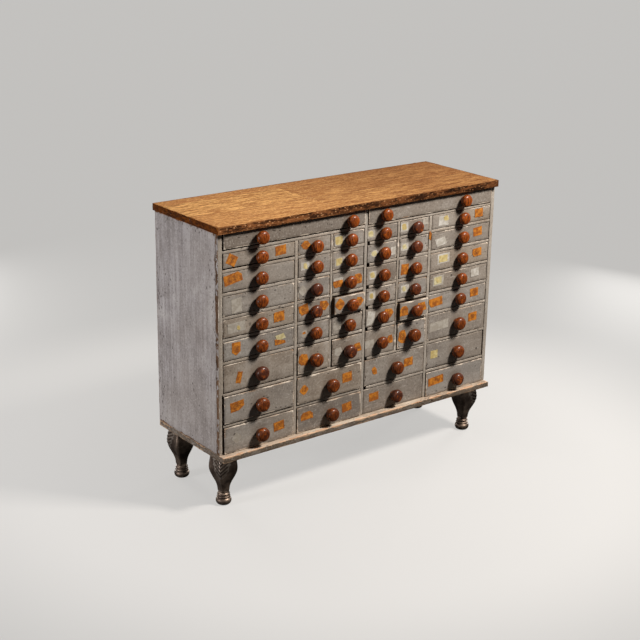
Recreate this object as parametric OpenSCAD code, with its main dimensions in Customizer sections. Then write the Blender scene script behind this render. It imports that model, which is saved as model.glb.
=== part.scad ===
// Cabinet of forty-six hardware drawers on four short cast legs, in millimetres.
// The origin is on the floor, at the middle of the whole cabinet. -Y is the front.

/* [Carcass] */
// Width over the two sides
carcass_w = 1150; // [1080:1:1300]
// Depth from the front edges to the back
carcass_d = 361; // [300:1:420]
// Thickness of the two sides
side_t = 16; // [14:1:24]
// Thickness of the three main uprights
upright_t = 12; // [10:1:16]
// Thickness of the two thin uprights
thin_upright_t = 9; // [8:1:12]
// Thickness of the shelves between the drawers
shelf_t = 10; // [8:1:14]
// How far a shelf is let into the boards at its ends
housing_d = 2.5; // [1:0.5:3.5]
// Thickness of the back boards
back_t = 8; // [6:1:12]
// How far the back boards are let into the sides
back_seat = 8; // [4:1:10]
// Number of back boards
back_count = 5; // [1:1:9]
// Depth of the strip that faces the front edge of each side
strip_d = 13; // [8:1:20]
// How much narrower the left strip is beside the two lowest drawers
strip_cut = 4.5; // [1:0.5:8]
// Width of the notches in the shelves beside the middle upright
notch_w = 11.5; // [4:0.5:20]
// Depth of those notches
notch_d = 30; // [4:1:40]

/* [Rows and columns] */
// Width of each of the four narrow columns
narrow_w = 130; // [110:1:145]
// Height of the openings in the top row
row_0_h = 55; // [50:1:90]
// Height of the openings in row 1
row_1_h = 50; // [50:1:90]
// Height of the openings in row 2
row_2_h = 63; // [50:1:90]
// Height of the openings in row 3
row_3_h = 66; // [50:1:90]
// Height of the openings in row 4
row_4_h = 61; // [50:1:90]
// Height of the openings in row 5
row_5_h = 65; // [50:1:90]
// Height of the openings in row 6
row_6_h = 94; // [60:1:130]
// Height of the openings in row 7
row_7_h = 95; // [60:1:130]
// Height of the openings in row 8
row_8_h = 90; // [60:1:130]

/* [Top] */
// Thickness of the top
top_t = 24; // [16:1:32]
// How far the top stands out at the left
top_left = 8; // [0:1:20]
// How far the top stands out at the right
top_right = 1.5; // [0:0.5:20]
// How far the top stands out at the front
top_front = 16; // [0:1:30]
// Width of the back board of the top
top_back_w = 58; // [40:1:90]
// Width of the middle boards of the top
top_middle_w = 161; // [110:1:180]
// Distance of the butt joint from the left end of the top
top_joint_x = 454; // [200:1:800]

/* [Base] */
// Thickness of the base board
base_t = 19; // [15:1:30]
// How far the base board stands out at the front
base_front = 24.5; // [0:0.5:40]

/* [Drawers] */
// Gap round each drawer front
front_gap = 1.2; // [0.8:0.1:2]
// Thickness of a drawer front
front_t = 14; // [11:1:20]
// Thickness of a drawer's sides and back
box_t = 8; // [6:1:10]
// Thickness of a drawer's bottom
bottom_t = 4; // [3:0.5:6]
// Depth of the rebates and grooves in a drawer
groove_d = 3.5; // [2:0.5:5]
// Height of the groove above a drawer's lower edge
groove_z = 4; // [3:0.5:6]
// How much lower a drawer's sides are than its opening
side_drop = 6; // [4:1:12]
// Space between a drawer and a side of its opening
side_space = 1.5; // [1:0.1:3]
// Space behind a closed drawer
rear_space = 8; // [4:1:20]
// How far the two drawers that aren't pushed home stand out
ajar = 12; // [4:1:30]
// How far the slightly proud drawers stand out
proud = 3; // [0:0.5:6]

/* [Knobs] */
// Diameter of the small knobs
small_knob_d = 43; // [34:1:48]
// How far the small knobs stand out
small_knob_l = 29; // [26:1:44]
// Diameter of the collar of the small knobs
small_collar_d = 27; // [22:1:30]
// Diameter of the large knobs
large_knob_d = 47; // [40:1:56]
// How far the large knobs stand out
large_knob_l = 32; // [28:1:48]
// Diameter of the collar of the large knobs
large_collar_d = 32; // [26:1:36]
// How far the small knobs are below the middle of their openings
small_knob_drop = 1.5; // [0:0.5:4]
// How far the large knobs are below the middle of their openings
large_knob_drop = 2.5; // [0:0.5:8]
// Depth of the cove behind a knob's head
cove_d = 1.2; // [0.5:0.1:3]
// Thickness of a knob's collar
collar_t = 4.5; // [3:0.5:6]
// Diameter of the spigot that holds a knob
spigot_d = 10; // [8:1:14]

/* [Legs] */
// Height of the legs
leg_h = 178; // [150:1:240]
// Distance of a foot's centre from the side of the carcass
leg_side = 49; // [46:1:80]
// Distance of the front feet's centres from the front of the carcass
leg_front = 52; // [42:1:90]
// Distance of the back feet's centres from the back of the carcass
leg_back = 57; // [46:1:90]
// Width of the knee at its widest
knee_w = 73; // [56:1:80]
// Width of the ankle
ankle_w = 30; // [26:1:36]
// Diameter of the ball foot
ball_d = 52; // [46:1:60]
// Height of the ball foot
ball_h = 25; // [22:1:30]
// Thickness of the two rings above the ball
ring_t = 7; // [5:1:8]
// Space between the two rings
ring_space = 3; // [2:1:8]
// Diameter of the lower ring
low_ring_d = 45; // [41:1:50]
// Diameter of the upper ring
high_ring_d = 42; // [39:1:46]
// Diameter of the bolt that holds a leg
bolt_d = 8; // [6:1:10]
// How far the bolt goes into the leg
bolt_in_leg = 30; // [20:1:40]

/* [Hidden] */
// Running space under a drawer
run_gap = 0.3;
// Space that keeps the glued pieces of one group apart, and a bolt or spigot clear of its hole
glue_gap = 0.1;
// Wood left over the end of a leg bolt
bolt_cover = 3;
// Small extra length that lets a cut pass through a face
past = 1;
// Thickness of the slices that the curved part of a leg is drawn between
slice_t = 0.01;
// How far the widest part of a ball foot is above the middle of its height
ball_rise = 1.5;
// How far the lower ring starts inside the ball
ring_sink = 1;
// How much further the round neck reaches than the flats of the ankle
neck_swell = 2;
// How far the curved part of a leg goes down into the round neck
neck_lap = 4;
// Turn from a knob's widest ring to its rim or its face
quarter_turn = 90;

ROW_H = [row_0_h, row_1_h, row_2_h, row_3_h, row_4_h, row_5_h, row_6_h, row_7_h, row_8_h];
last_row = len(ROW_H) - 1;
// The last row in which each narrow column has drawers of its own
last_narrow_row = 6;
outer_w = (carcass_w - 2 * side_t - 3 * upright_t - 2 * thin_upright_t - 4 * narrow_w) / 2;
COLUMN_W = [outer_w, narrow_w, narrow_w, narrow_w, narrow_w, outer_w];
// Thickness of the board at the left of each column
WALL_T = [side_t, upright_t, thin_upright_t, upright_t, thin_upright_t, upright_t];
last_column = len(COLUMN_W) - 1;
LETTERS = ["a", "b", "c", "d", "e", "f"];
// Columns that have a thin upright at their left, and the first one right of the middle upright
THIN_SIDED = [2, 4];
middle_column = 3;

function sum_of(v, n) = n <= 0 ? 0 : v[n - 1] + sum_of(v, n - 1);

knob_reach = max(ajar + small_knob_l, proud + max(small_knob_l, large_knob_l), base_front, top_front);
left_x = (top_left - top_right - carcass_w) / 2;
right_x = left_x + carcass_w;
front_y = (knob_reach - carcass_d) / 2;
back_y = front_y + carcass_d;
inner_back_y = back_y - back_t;
inner_d = carcass_d - back_t;
floor_z = leg_h + base_t;
top_z = floor_z + sum_of(ROW_H, last_row + 1) + last_row * shelf_t;

function row_top(r) = top_z - sum_of(ROW_H, r) - r * shelf_t;
function row_bottom(r) = row_top(r) - ROW_H[r];
function column_left(c) = left_x + sum_of(WALL_T, c + 1) + sum_of(COLUMN_W, c);
function column_right(c) = column_left(c) + COLUMN_W[c];
function is_outer(c) = c == 0 || c == last_column;
function is_in(name, names) = len([for (n = names) if (n == name) n]) > 0;
// How far a drawer stands out at rest
function stands_out(name) = is_in(name, AJAR) ? ajar : is_in(name, PROUD) ? proud : 0;

// Each drawer is its name, its first and last column and its row
DRAWERS = concat(
    [["drawer_top_left", 0, 2, 0], ["drawer_top_right", 3, 5, 0]],
    [for (c = [0:last_column], r = [1:last_row])
        if (is_outer(c) || r <= last_narrow_row) [str("drawer_", LETTERS[c], r), c, c, r]],
    [for (r = [last_narrow_row + 1:last_row]) [str("drawer_bc", r), 1, 2, r]],
    [for (r = [last_narrow_row + 1:last_row]) [str("drawer_de", r), 3, 4, r]]
);
// Drawers that aren't pushed home, slightly proud ones, and a low one that has a small knob
AJAR = ["drawer_c4", "drawer_e5"];
PROUD = ["drawer_top_left", "drawer_top_right", "drawer_a7", "drawer_a8", "drawer_b6", "drawer_c6",
    "drawer_bc7", "drawer_bc8", "drawer_e6", "drawer_f8"];
SMALL_KNOB_LOW = ["drawer_d6"];

// Each shelf is its first and last column and the row that it is under
function shelves(outer, inner_a, inner_b) = concat(
    [[min(outer, inner_a), max(outer, inner_b), 0]],
    [for (r = [1:last_row - 1]) [outer, outer, r]],
    [for (c = [inner_a, inner_b], r = [1:last_narrow_row - 1]) [c, c, r]],
    [for (r = [last_narrow_row:last_row - 1]) [inner_a, inner_b, r]]
);

// Height where the round neck over the rings ends, and where the curved part of a leg starts inside it
neck_top_z = ball_h - ring_sink + 2 * (ring_t + ring_space);
ankle_z = neck_top_z - neck_lap;

// A leg section is its share of the way up from the ankle, its width, and its shift towards the
// corner and corner radius as shares of the knee's width
LEG_SECTIONS = [
    [0, ankle_w, 0.01, 0.11],
    [0.16, 1.08 * ankle_w, 0.01, 0.11],
    [0.29, 0.57 * knee_w, 0.02, 0.11],
    [0.43, 0.79 * knee_w, 0.03, 0.11],
    [0.62, knee_w, 0.04, 0.12],
    [0.8, 0.95 * knee_w, 0.03, 0.13],
    [1, 0.86 * knee_w, 0, 0.13]
];

LEG_NODES = ["leg_front_left", "leg_front_right", "leg_back_left", "leg_back_right"];
// Foot centre of each leg in the same order
LEG_PLACES = [
    [left_x + leg_side, front_y + leg_front],
    [right_x - leg_side, front_y + leg_front],
    [left_x + leg_side, back_y - leg_back],
    [right_x - leg_side, back_y - leg_back]
];

// A box from its lowest to its highest corner
module block(low, high) {
    translate(low) cube(high - low);
}

// Grooves for the shelf ends under the rows from first to last, in boards between two x
module shelf_grooves(x0, x1, first, last) {
    for (r = [first:last])
        block([x0, front_y - past, row_bottom(r) - shelf_t], [x1, inner_back_y, row_bottom(r)]);
}

// One board of the top, between two x and two y
module top_board(x0, x1, y0, y1) {
    block([x0, y0, top_z], [x1, y1, top_z + top_t]);
}

module top_boards() {
    x0 = left_x - top_left;
    x1 = right_x + top_right;
    joint_x = x0 + top_joint_x;
    y0 = front_y - top_front;
    front_seam_y = back_y - top_back_w - top_middle_w;
    back_seam_y = back_y - top_back_w;
    color([0.76, 0.53, 0.32]) {
        top_board(x0, x1, back_seam_y + glue_gap, back_y);
        for (seam = [[y0, front_seam_y], [front_seam_y + glue_gap, back_seam_y]]) {
            top_board(x0, joint_x, seam[0], seam[1]);
            top_board(joint_x + glue_gap, x1, seam[0], seam[1]);
        }
    }
}

// A side, from the strip on its front edge to the back, grooved for the shelves
module side(outer_x, inner_x) {
    inward = sign(inner_x - outer_x);
    groove_x = inner_x - inward * housing_d;
    seat_x = inner_x - inward * back_seat;
    beyond_x = inner_x + inward * past;
    difference() {
        block([min(outer_x, inner_x), front_y + strip_d, floor_z], [max(outer_x, inner_x), back_y, top_z]);
        shelf_grooves(min(groove_x, beyond_x), max(groove_x, beyond_x), 0, last_row - 1);
        block(
            [min(seat_x, beyond_x), inner_back_y, floor_z - past],
            [max(seat_x, beyond_x), back_y + past, top_z + past]
        );
    }
}

module side_left() {
    color([0.62, 0.60, 0.60]) side(left_x, left_x + side_t);
}

module side_right() {
    color([0.62, 0.60, 0.60]) side(right_x, right_x - side_t);
}

// Strips on the front edges of the sides, grooved with them
module front_strips() {
    y1 = front_y + strip_d;
    inner_left_x = left_x + side_t;
    inner_right_x = right_x - side_t;
    color([0.72, 0.69, 0.65]) {
        difference() {
            block([left_x, front_y, floor_z], [inner_left_x, y1, top_z]);
            shelf_grooves(inner_left_x - housing_d, inner_left_x + past, 0, last_row - 1);
            block(
                [inner_left_x - strip_cut, front_y - past, floor_z - past],
                [inner_left_x + past, y1 + past, row_top(last_narrow_row + 1)]
            );
        }
        difference() {
            block([inner_right_x, front_y, floor_z], [right_x, y1, top_z]);
            shelf_grooves(inner_right_x - past, inner_right_x + housing_d, 0, last_row - 1);
        }
    }
}

module back_boards() {
    x0 = left_x + side_t - back_seat;
    x1 = right_x - side_t + back_seat;
    board_w = (x1 - x0) / back_count;
    color([0.55, 0.43, 0.32])
        for (i = [0:back_count - 1])
            block(
                [x0 + i * board_w + (i > 0 ? glue_gap : 0), inner_back_y, floor_z],
                [x0 + (i + 1) * board_w, back_y, top_z]
            );
}

// An upright at the left of a column, grooved on both faces under the rows from first to last
module upright(c, z0, z1, first, last) {
    x0 = column_right(c - 1);
    x1 = column_left(c);
    difference() {
        block([x0, front_y, z0], [x1, inner_back_y, z1]);
        shelf_grooves(x0 - past, x0 + housing_d, first, last);
        shelf_grooves(x1 - housing_d, x1 + past, first, last);
    }
}

module uprights() {
    under_first_shelf = row_bottom(0) - shelf_t;
    over_low_shelf = row_bottom(last_narrow_row);
    color([0.74, 0.71, 0.66]) {
        for (c = [1, last_column]) upright(c, floor_z, under_first_shelf, 1, last_row - 1);
        for (c = THIN_SIDED) upright(c, over_low_shelf, under_first_shelf, 1, last_narrow_row - 1);
        upright(middle_column, floor_z, top_z, 0, last_row - 1);
    }
}

// A shelf with its ends in their grooves, notched at the front beside the middle upright
module shelf(first, last, r) {
    x0 = column_left(first) - housing_d;
    z1 = row_bottom(r);
    difference() {
        block([x0, front_y, z1 - shelf_t], [column_right(last) + housing_d, inner_back_y, z1]);
        if (first == middle_column && r > 0)
            block(
                [x0 - past, front_y - past, z1 - shelf_t - past],
                [column_left(first) + notch_w, front_y + notch_d, z1 + past]
            );
    }
}

module shelves_left() {
    color([0.74, 0.71, 0.66]) for (s = shelves(0, 1, 2)) shelf(s[0], s[1], s[2]);
}

module shelves_right() {
    color([0.74, 0.71, 0.66]) for (s = shelves(last_column, 3, 4)) shelf(s[0], s[1], s[2]);
}

module leg_bolt(radius) {
    bolt_l = bolt_in_leg + base_t - bolt_cover;
    translate([0, 0, leg_h - bolt_in_leg]) cylinder(h = bolt_l, r = radius, $fn = 48);
}

module base_board() {
    color([0.70, 0.66, 0.61]) difference() {
        block([left_x, front_y - base_front, leg_h], [right_x, back_y, floor_z]);
        for (p = LEG_PLACES) translate(p) leg_bolt(bolt_d / 2 + glue_gap);
    }
}

module leg_bolts() {
    color([0.5, 0.5, 0.52]) for (p = LEG_PLACES) translate(p) leg_bolt(bolt_d / 2);
}

// A thin slice of the curved part of a leg, under the height of its section
module leg_slice(s) {
    shift = s[2] * knee_w / sqrt(2);
    corner_r = s[3] * knee_w;
    translate([-shift, -shift, ankle_z + s[0] * (leg_h - ankle_z) - slice_t])
        linear_extrude(slice_t)
            offset(r = corner_r, $fn = 32) square(s[1] - 2 * corner_r, center = true);
}

// Half outline of a round-edged ring that starts at height z
module ring_outline(d, z) {
    edge_r = ring_t / 2;
    translate([0, z]) square([d / 2 - edge_r, ring_t]);
    translate([d / 2 - edge_r, z + edge_r]) circle(r = edge_r, $fn = 32);
}

// Ball foot with two rings and the neck that runs up into the ankle
module foot() {
    low_ring_z = ball_h - ring_sink;
    high_ring_z = low_ring_z + ring_t + ring_space;
    rotate_extrude($fn = 64) {
        intersection() {
            translate([0, ball_h / 2 + ball_rise]) circle(d = ball_d, $fn = 64);
            square([ball_d, ball_h]);
        }
        square([ankle_w / 2 + neck_swell, neck_top_z]);
        ring_outline(low_ring_d, low_ring_z);
        ring_outline(high_ring_d, high_ring_z);
    }
}

// A leg with its foot on the z axis and its knee towards -X -Y
module leg() {
    color([0.16, 0.13, 0.12]) difference() {
        union() {
            foot();
            for (i = [1:len(LEG_SECTIONS) - 1]) hull() {
                leg_slice(LEG_SECTIONS[i - 1]);
                leg_slice(LEG_SECTIONS[i]);
            }
        }
        leg_bolt(bolt_d / 2 + glue_gap);
    }
}

// The leg at a place of LEG_PLACES, turned so that its knee points to that corner
module placed_leg(i) {
    translate(LEG_PLACES[i]) mirror([i % 2, 0, 0]) mirror([0, floor(i / 2), 0]) leg();
}

// Half outline of a knob: x is the radius and y the distance from the drawer front
function knob_outline(head_r, collar_r, length) =
    let (
        neck_r = collar_r - cove_d,
        neck_y = collar_t + 0.06 * length,
        wide_y = 0.6 * length,
        face_round = 0.55,
        steps = 8
    )
    concat(
        [[0, -front_t], [spigot_d / 2, -front_t], [spigot_d / 2, glue_gap],
         [collar_r, glue_gap], [collar_r, collar_t], [neck_r, neck_y]],
        [for (i = [1:steps])
            let (t = quarter_turn * i / steps)
            [neck_r + (head_r - neck_r) * sin(t), wide_y - (wide_y - neck_y) * cos(t)]],
        [for (i = [1:steps - 1])
            let (t = quarter_turn * i / steps)
            [head_r * pow(cos(t), face_round), wide_y + (length - wide_y) * sin(t)]],
        [[0, length]]
    );

module knob(large) {
    head_r = (large ? large_knob_d : small_knob_d) / 2;
    collar_r = (large ? large_collar_d : small_collar_d) / 2;
    length = large ? large_knob_l : small_knob_l;
    color([0.48, 0.22, 0.09])
        rotate([90, 0, 0]) rotate_extrude($fn = 64) polygon(knob_outline(head_r, collar_r, length));
}

// Where a drawer's knobs are across the cabinet
// In the top row they line up with its two end columns, and elsewhere there is one in its middle
function knob_places(first, last, r) =
    r == 0 ? [for (c = [first, last]) (column_left(c) + column_right(c)) / 2]
           : [(column_left(first) + column_right(last)) / 2];

// A drawer: front, two sides, back, bottom and knobs, a glue line apart
module drawer(name, first, last, r) {
    large = r >= last_narrow_row && !is_in(name, SMALL_KNOB_LOW);
    y0 = front_y - stands_out(name);
    y1 = y0 + inner_d - rear_space;
    x0 = column_left(first) + front_gap;
    x1 = column_right(last) - front_gap;
    z0 = row_bottom(r) + front_gap;
    z1 = row_top(r) - front_gap;
    box_x0 = column_left(first) + side_space;
    box_x1 = column_right(last) - side_space;
    box_z0 = row_bottom(r) + run_gap;
    box_z1 = row_top(r) - side_drop;
    slot_z0 = box_z0 + groove_z;
    slot_z1 = slot_z0 + bottom_t + 2 * glue_gap;
    knob_z = (row_bottom(r) + row_top(r)) / 2 - (large ? large_knob_drop : small_knob_drop);
    front_y1 = y0 + front_t;
    side_y0 = front_y1 - groove_d;
    inner_x0 = box_x0 + box_t;
    inner_x1 = box_x1 - box_t;
    slot_x0 = inner_x0 - groove_d;
    slot_x1 = inner_x1 + groove_d;

    color([0.66, 0.62, 0.57]) difference() {
        block([x0, y0, z0], [x1, front_y1, z1]);
        for (end = [[x0 - past, inner_x0 + glue_gap], [inner_x1 - glue_gap, x1 + past]])
            block([end[0], side_y0 - glue_gap, z0 - past], [end[1], front_y1 + past, z1 + past]);
        block([inner_x0 - past, side_y0 - glue_gap, slot_z0], [inner_x1 + past, front_y1 + past, slot_z1]);
        for (x = knob_places(first, last, r))
            translate([x, front_y1 + past, knob_z]) rotate([90, 0, 0])
                cylinder(h = front_t + 2 * past, d = spigot_d + 2 * glue_gap, $fn = 48);
    }
    color([0.62, 0.50, 0.37]) {
        difference() {
            block([box_x0, side_y0, box_z0], [inner_x0, y1, box_z1]);
            block([slot_x0 - glue_gap, side_y0 - past, slot_z0], [inner_x0 + past, y1 + past, slot_z1]);
        }
        difference() {
            block([inner_x1, side_y0, box_z0], [box_x1, y1, box_z1]);
            block([inner_x1 - past, side_y0 - past, slot_z0], [slot_x1 + glue_gap, y1 + past, slot_z1]);
        }
        block([inner_x0 + glue_gap, y1 - box_t, slot_z1], [inner_x1 - glue_gap, y1, box_z1]);
        block([slot_x0, side_y0, slot_z0 + glue_gap], [slot_x1, y1, slot_z1 - glue_gap]);
    }
    for (x = knob_places(first, last, r)) translate([x, y0, knob_z]) knob(large);
}

top_boards();
side_left();
side_right();
back_boards();
base_board();
uprights();
front_strips();
shelves_left();
shelves_right();
leg_bolts();
for (i = [0:len(LEG_NODES) - 1]) placed_leg(i);
for (d = DRAWERS) drawer(d[0], d[1], d[2], d[3]);
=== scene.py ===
import math
import random

import bmesh
import bpy
import numpy as np
from mathutils import Matrix, Vector


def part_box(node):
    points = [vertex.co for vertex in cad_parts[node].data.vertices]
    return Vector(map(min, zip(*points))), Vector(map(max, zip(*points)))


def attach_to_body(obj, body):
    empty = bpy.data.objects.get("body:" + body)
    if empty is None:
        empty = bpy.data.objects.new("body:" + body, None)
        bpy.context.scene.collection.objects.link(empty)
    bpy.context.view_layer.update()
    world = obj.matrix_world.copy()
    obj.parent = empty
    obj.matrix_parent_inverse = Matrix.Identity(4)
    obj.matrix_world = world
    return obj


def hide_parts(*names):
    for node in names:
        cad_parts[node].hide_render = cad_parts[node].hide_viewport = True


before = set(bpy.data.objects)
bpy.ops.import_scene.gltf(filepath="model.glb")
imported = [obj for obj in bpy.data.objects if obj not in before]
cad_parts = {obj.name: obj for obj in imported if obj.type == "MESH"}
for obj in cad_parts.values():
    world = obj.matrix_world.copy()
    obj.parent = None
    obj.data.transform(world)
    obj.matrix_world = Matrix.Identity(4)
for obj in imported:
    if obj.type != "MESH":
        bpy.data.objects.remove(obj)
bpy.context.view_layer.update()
print("frame loaded")

mm = 0.001
letters = "abcdef"
mixed = random.Random(11)

camera = {
    "place": (-2.69985, -3.3904, 1.9537), "azimuth": 37.944, "down": 18.633, "roll": 0.967, "lens": 75.616,
}
lights = {
    "keyLight": {
        "place": (1.2, -1.94, 3.05), "aim": (0.0, -0.1, 0.55), "size": 0.62, "power": 178,
        "colour": (1.0, 0.95, 0.89),
    },
    "leftLight": {
        "place": (-3.4, 0.35, 0.8), "aim": (-0.57, 0.02, 0.45), "size": 0.9, "power": 70,
        "colour": (0.97, 0.97, 1.0),
    },
    "rightLight": {
        "place": (2.7, 0.75, 0.52), "aim": (0.57, 0.02, 0.5), "size": 0.8, "power": 26,
        "colour": (1.0, 0.97, 0.93),
    },
    "rearLight": {
        "place": (-0.4, 3.0, 0.52), "aim": (0.0, 0.2, 0.5), "size": 0.8, "power": 34,
        "colour": (1.0, 0.97, 0.93),
    },
}
room = {
    "fill": 0.007, "shown": (0.58, 0.57, 0.555), "floor": (0.20, 0.195, 0.19), "glow": (0.50, 0.49, 0.475),
    "under": 0.016,  # how pale the floor is to light that bounces off it
    "lit": (0.95, 1.8),  # metres from the middle over which the floor stops catching the lamps
}


def makeCamera():
    a, e, r = (math.radians(camera[k]) for k in ("azimuth", "down", "roll"))
    ahead = Vector((math.sin(a) * math.cos(e), math.cos(a) * math.cos(e), -math.sin(e)))
    right = ahead.cross(Vector((0, 0, 1))).normalized()
    up = right.cross(ahead)
    rightRolled = right * math.cos(r) + up * math.sin(r)
    upRolled = up * math.cos(r) - right * math.sin(r)
    turn = Matrix((rightRolled, upRolled, -ahead)).transposed()
    data = bpy.data.cameras.new("camera")
    data.lens, data.sensor_width = camera["lens"], 36
    view = bpy.data.objects.new("camera", data)
    bpy.context.scene.collection.objects.link(view)
    view.matrix_world = Matrix.Translation(camera["place"]) @ turn.to_4x4()
    bpy.context.scene.camera = view


def makeLight(name, look):
    data = bpy.data.lights.new(name, "AREA")
    data.size, data.energy, data.color = look["size"], look["power"], look["colour"]
    lamp = bpy.data.objects.new(name, data)
    bpy.context.scene.collection.objects.link(lamp)
    lamp.location = look["place"]
    lamp.rotation_euler = (Vector(look["aim"]) - Vector(look["place"])).to_track_quat("-Z", "Y").to_euler()
    lamp.visible_camera = False


def paint(r, g, b):  # a colour as it is seen, 0 to 255, as Blender's linear one
    return tuple(((c / 255 + 0.055) / 1.055) ** 2.4 if c > 10 else c / 255 / 12.92 for c in (r, g, b)) + (1,)


def addNode(tree, kind, sockets=None, **settings):
    made = tree.nodes.new("ShaderNode" + kind)
    for key, value in settings.items():
        setattr(made, key, value)
    for key, value in (sockets or {}).items():
        if isinstance(value, bpy.types.NodeSocket):
            tree.links.new(value, made.inputs[key])
        else:
            made.inputs[key].default_value = value
    return made


def calc(tree, operation, *values):
    return addNode(tree, "Math", dict(enumerate(values)), operation=operation).outputs[0]


def times(tree, first, second):
    return calc(tree, "MULTIPLY", first, second)


def spread(tree, value, low, high, toLow=0.0, toHigh=1.0):  # a smooth step from one range to another
    sockets = {"Value": value, "From Min": low, "From Max": high, "To Min": toLow, "To Max": toHigh}
    return addNode(tree, "MapRange", sockets, interpolation_type="SMOOTHSTEP").outputs[0]


def blend(tree, mask, first, second, how="MIX"):
    sockets = {0: mask, 6: first, 7: second}
    return addNode(tree, "Mix", sockets, data_type="RGBA", blend_type=how).outputs[2]


def tint(tree, colour, mask, amount, towards):  # leans a colour towards another one where the mask is
    return blend(tree, times(tree, mask, amount), colour, towards)


def attributeOf(tree, name):
    return addNode(tree, "Attribute", attribute_name=name).outputs["Fac"]


def noiseOf(tree, vector, scale, detail=4.0, roughness=0.55, distortion=0.0):
    sockets = {
        "Vector": vector, "Scale": scale, "Detail": detail, "Roughness": roughness, "Distortion": distortion,
    }
    return addNode(tree, "TexNoise", sockets).outputs["Fac"]


def stretched(tree, vector, scale):
    return addNode(tree, "Mapping", {"Vector": vector, "Scale": scale}).outputs[0]


def startGroup(name, inputs, outputs):
    group = bpy.data.node_groups.new(name, "ShaderNodeTree")
    for title, kind, value in inputs:
        socket = group.interface.new_socket(name=title, in_out="INPUT", socket_type="NodeSocket" + kind)
        if value is not None:
            socket.default_value = value
    for title in outputs:
        group.interface.new_socket(name=title, in_out="OUTPUT", socket_type="NodeSocketFloat")
    return group, group.nodes.new("NodeGroupInput").outputs, group.nodes.new("NodeGroupOutput").inputs


def useGroup(tree, group, **sockets):
    made = tree.nodes.new("ShaderNodeGroup")
    made.node_tree = group
    for key, value in sockets.items():
        if isinstance(value, bpy.types.NodeSocket):
            tree.links.new(value, made.inputs[key])
        else:
            made.inputs[key].default_value = value
    return made.outputs


def ownPlace(tree):  # object coordinates, shifted by each board's own tone so that no two boards match
    place = addNode(tree, "TexCoord").outputs["Object"]
    tone = attributeOf(tree, "tone")
    shift = addNode(tree, "VectorMath", {0: (3.7, 5.1, 2.3), "Scale": tone}, operation="SCALE").outputs[0]
    return addNode(tree, "VectorMath", {0: place, 1: shift}, operation="ADD").outputs[0], tone


def makeGrainGroup():  # wood grain that runs along the axis in which the given vector is squeezed
    group, given, result = startGroup(
        "woodGrain", [("Vector", "Vector", None), ("Scale", "Float", 1.0)], ["Fibre", "Figure", "Pores"]
    )
    vector = addNode(
        group, "VectorMath", {0: given["Vector"], "Scale": given["Scale"]}, operation="SCALE"
    ).outputs[0]
    group.links.new(noiseOf(group, vector, 9.0, 7.0, 0.62, 0.25), result["Fibre"])
    bend = noiseOf(group, vector, 1.1, 3.0, 0.5, 0.4)
    rings = calc(group, "SINE", times(group, bend, 46.0))
    group.links.new(spread(group, rings, -1.0, 1.0), result["Figure"])
    fine = noiseOf(group, vector, 30.0, 3.0, 0.7)
    group.links.new(spread(group, fine, 0.60, 0.72), result["Pores"])
    return group


# Where paint is rubbed off along the arrises, from the distance that each board's mesh carries
def makeWearGroup():
    group, given, result = startGroup(
        "edgeWear", [("Vector", "Vector", None), ("Width", "Float", 0.002), ("Ragged", "Float", 1.0)],
        ["Bare", "Rim"]
    )
    edge = attributeOf(group, "edge")
    amount = attributeOf(group, "wear")
    patchy = spread(group, noiseOf(group, given["Vector"], 21.0, 5.0, 0.62), 0.38, 0.68, 0.0, 2.0)
    reach = times(group, times(group, patchy, given["Width"]), amount)
    reach = times(group, reach, given["Ragged"])
    left = calc(group, "SUBTRACT", reach, edge)
    group.links.new(spread(group, left, -0.0002, 0.0005), result["Bare"])
    group.links.new(spread(group, edge, 0.0, 0.011, 1.0, 0.0), result["Rim"])
    return group


# Brush streaks, blotches, specks of dirt, small dents, flecks that are chipped off and scuffs
def makePatinaGroup():
    inputs = [
        (title, "Vector", None) for title in ("Vector", "Along", "Squeeze")
    ] + [("Chips", "Float", 0.05)]
    outputs = ["Streaks", "Blotches", "Specks", "Dents", "Flecks", "Scuffs"]
    group, given, result = startGroup("oldPaint", inputs, outputs)
    place = given["Vector"]
    group.links.new(noiseOf(group, given["Along"], 5.0, 6.0, 0.68, 0.35), result["Streaks"])
    group.links.new(noiseOf(group, place, 6.5, 6.0, 0.66, 0.4), result["Blotches"])
    group.links.new(noiseOf(group, place, 150.0, 4.0, 0.75), result["Specks"])
    cells = addNode(group, "TexVoronoi", {"Vector": place, "Scale": 30.0, "Randomness": 1.0}).outputs
    size = spread(group, noiseOf(group, place, 9.0, 2.0), 0.48, 0.70, 0.0, 0.15)
    group.links.new(
        spread(group, calc(group, "SUBTRACT", size, cells["Distance"]), -0.02, 0.05), result["Dents"]
    )
    squeezed = addNode(group, "VectorMath", {0: place, 1: given["Squeeze"]}, operation="MULTIPLY").outputs[0]
    bent = addNode(group, "TexNoise", {"Vector": place, "Scale": 60.0, "Detail": 3.0}).outputs["Color"]
    bent = addNode(group, "VectorMath", {0: bent, "Scale": 0.012}, operation="SCALE").outputs[0]
    squeezed = addNode(group, "VectorMath", {0: squeezed, 1: bent}, operation="ADD").outputs[0]
    bits = addNode(group, "TexVoronoi", {"Vector": squeezed, "Scale": 85.0, "Randomness": 1.0}).outputs
    edge = attributeOf(group, "edge")
    near = spread(group, edge, 0.004, 0.05, 2.6, 0.9)
    near = times(group, near, spread(group, noiseOf(group, place, 4.3, 2.0), 0.44, 0.62, 0.2, 2.0))
    rare = calc(group, "SUBTRACT", 1.0, times(group, given["Chips"], near))
    chosen = calc(group, "GREATER_THAN", bits["Color"], rare)
    chip = spread(group, bits["Distance"], 0.20, 0.46, 1.0, 0.0)
    group.links.new(times(group, chip, chosen), result["Flecks"])
    rub = noiseOf(group, given["Along"], 19.0, 4.0, 0.7, 0.6)
    where = noiseOf(group, place, 3.1, 2.0)
    scuffs = times(group, spread(group, rub, 0.58, 0.70), spread(group, where, 0.46, 0.62))
    group.links.new(scuffs, result["Scuffs"])
    return group


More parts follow.
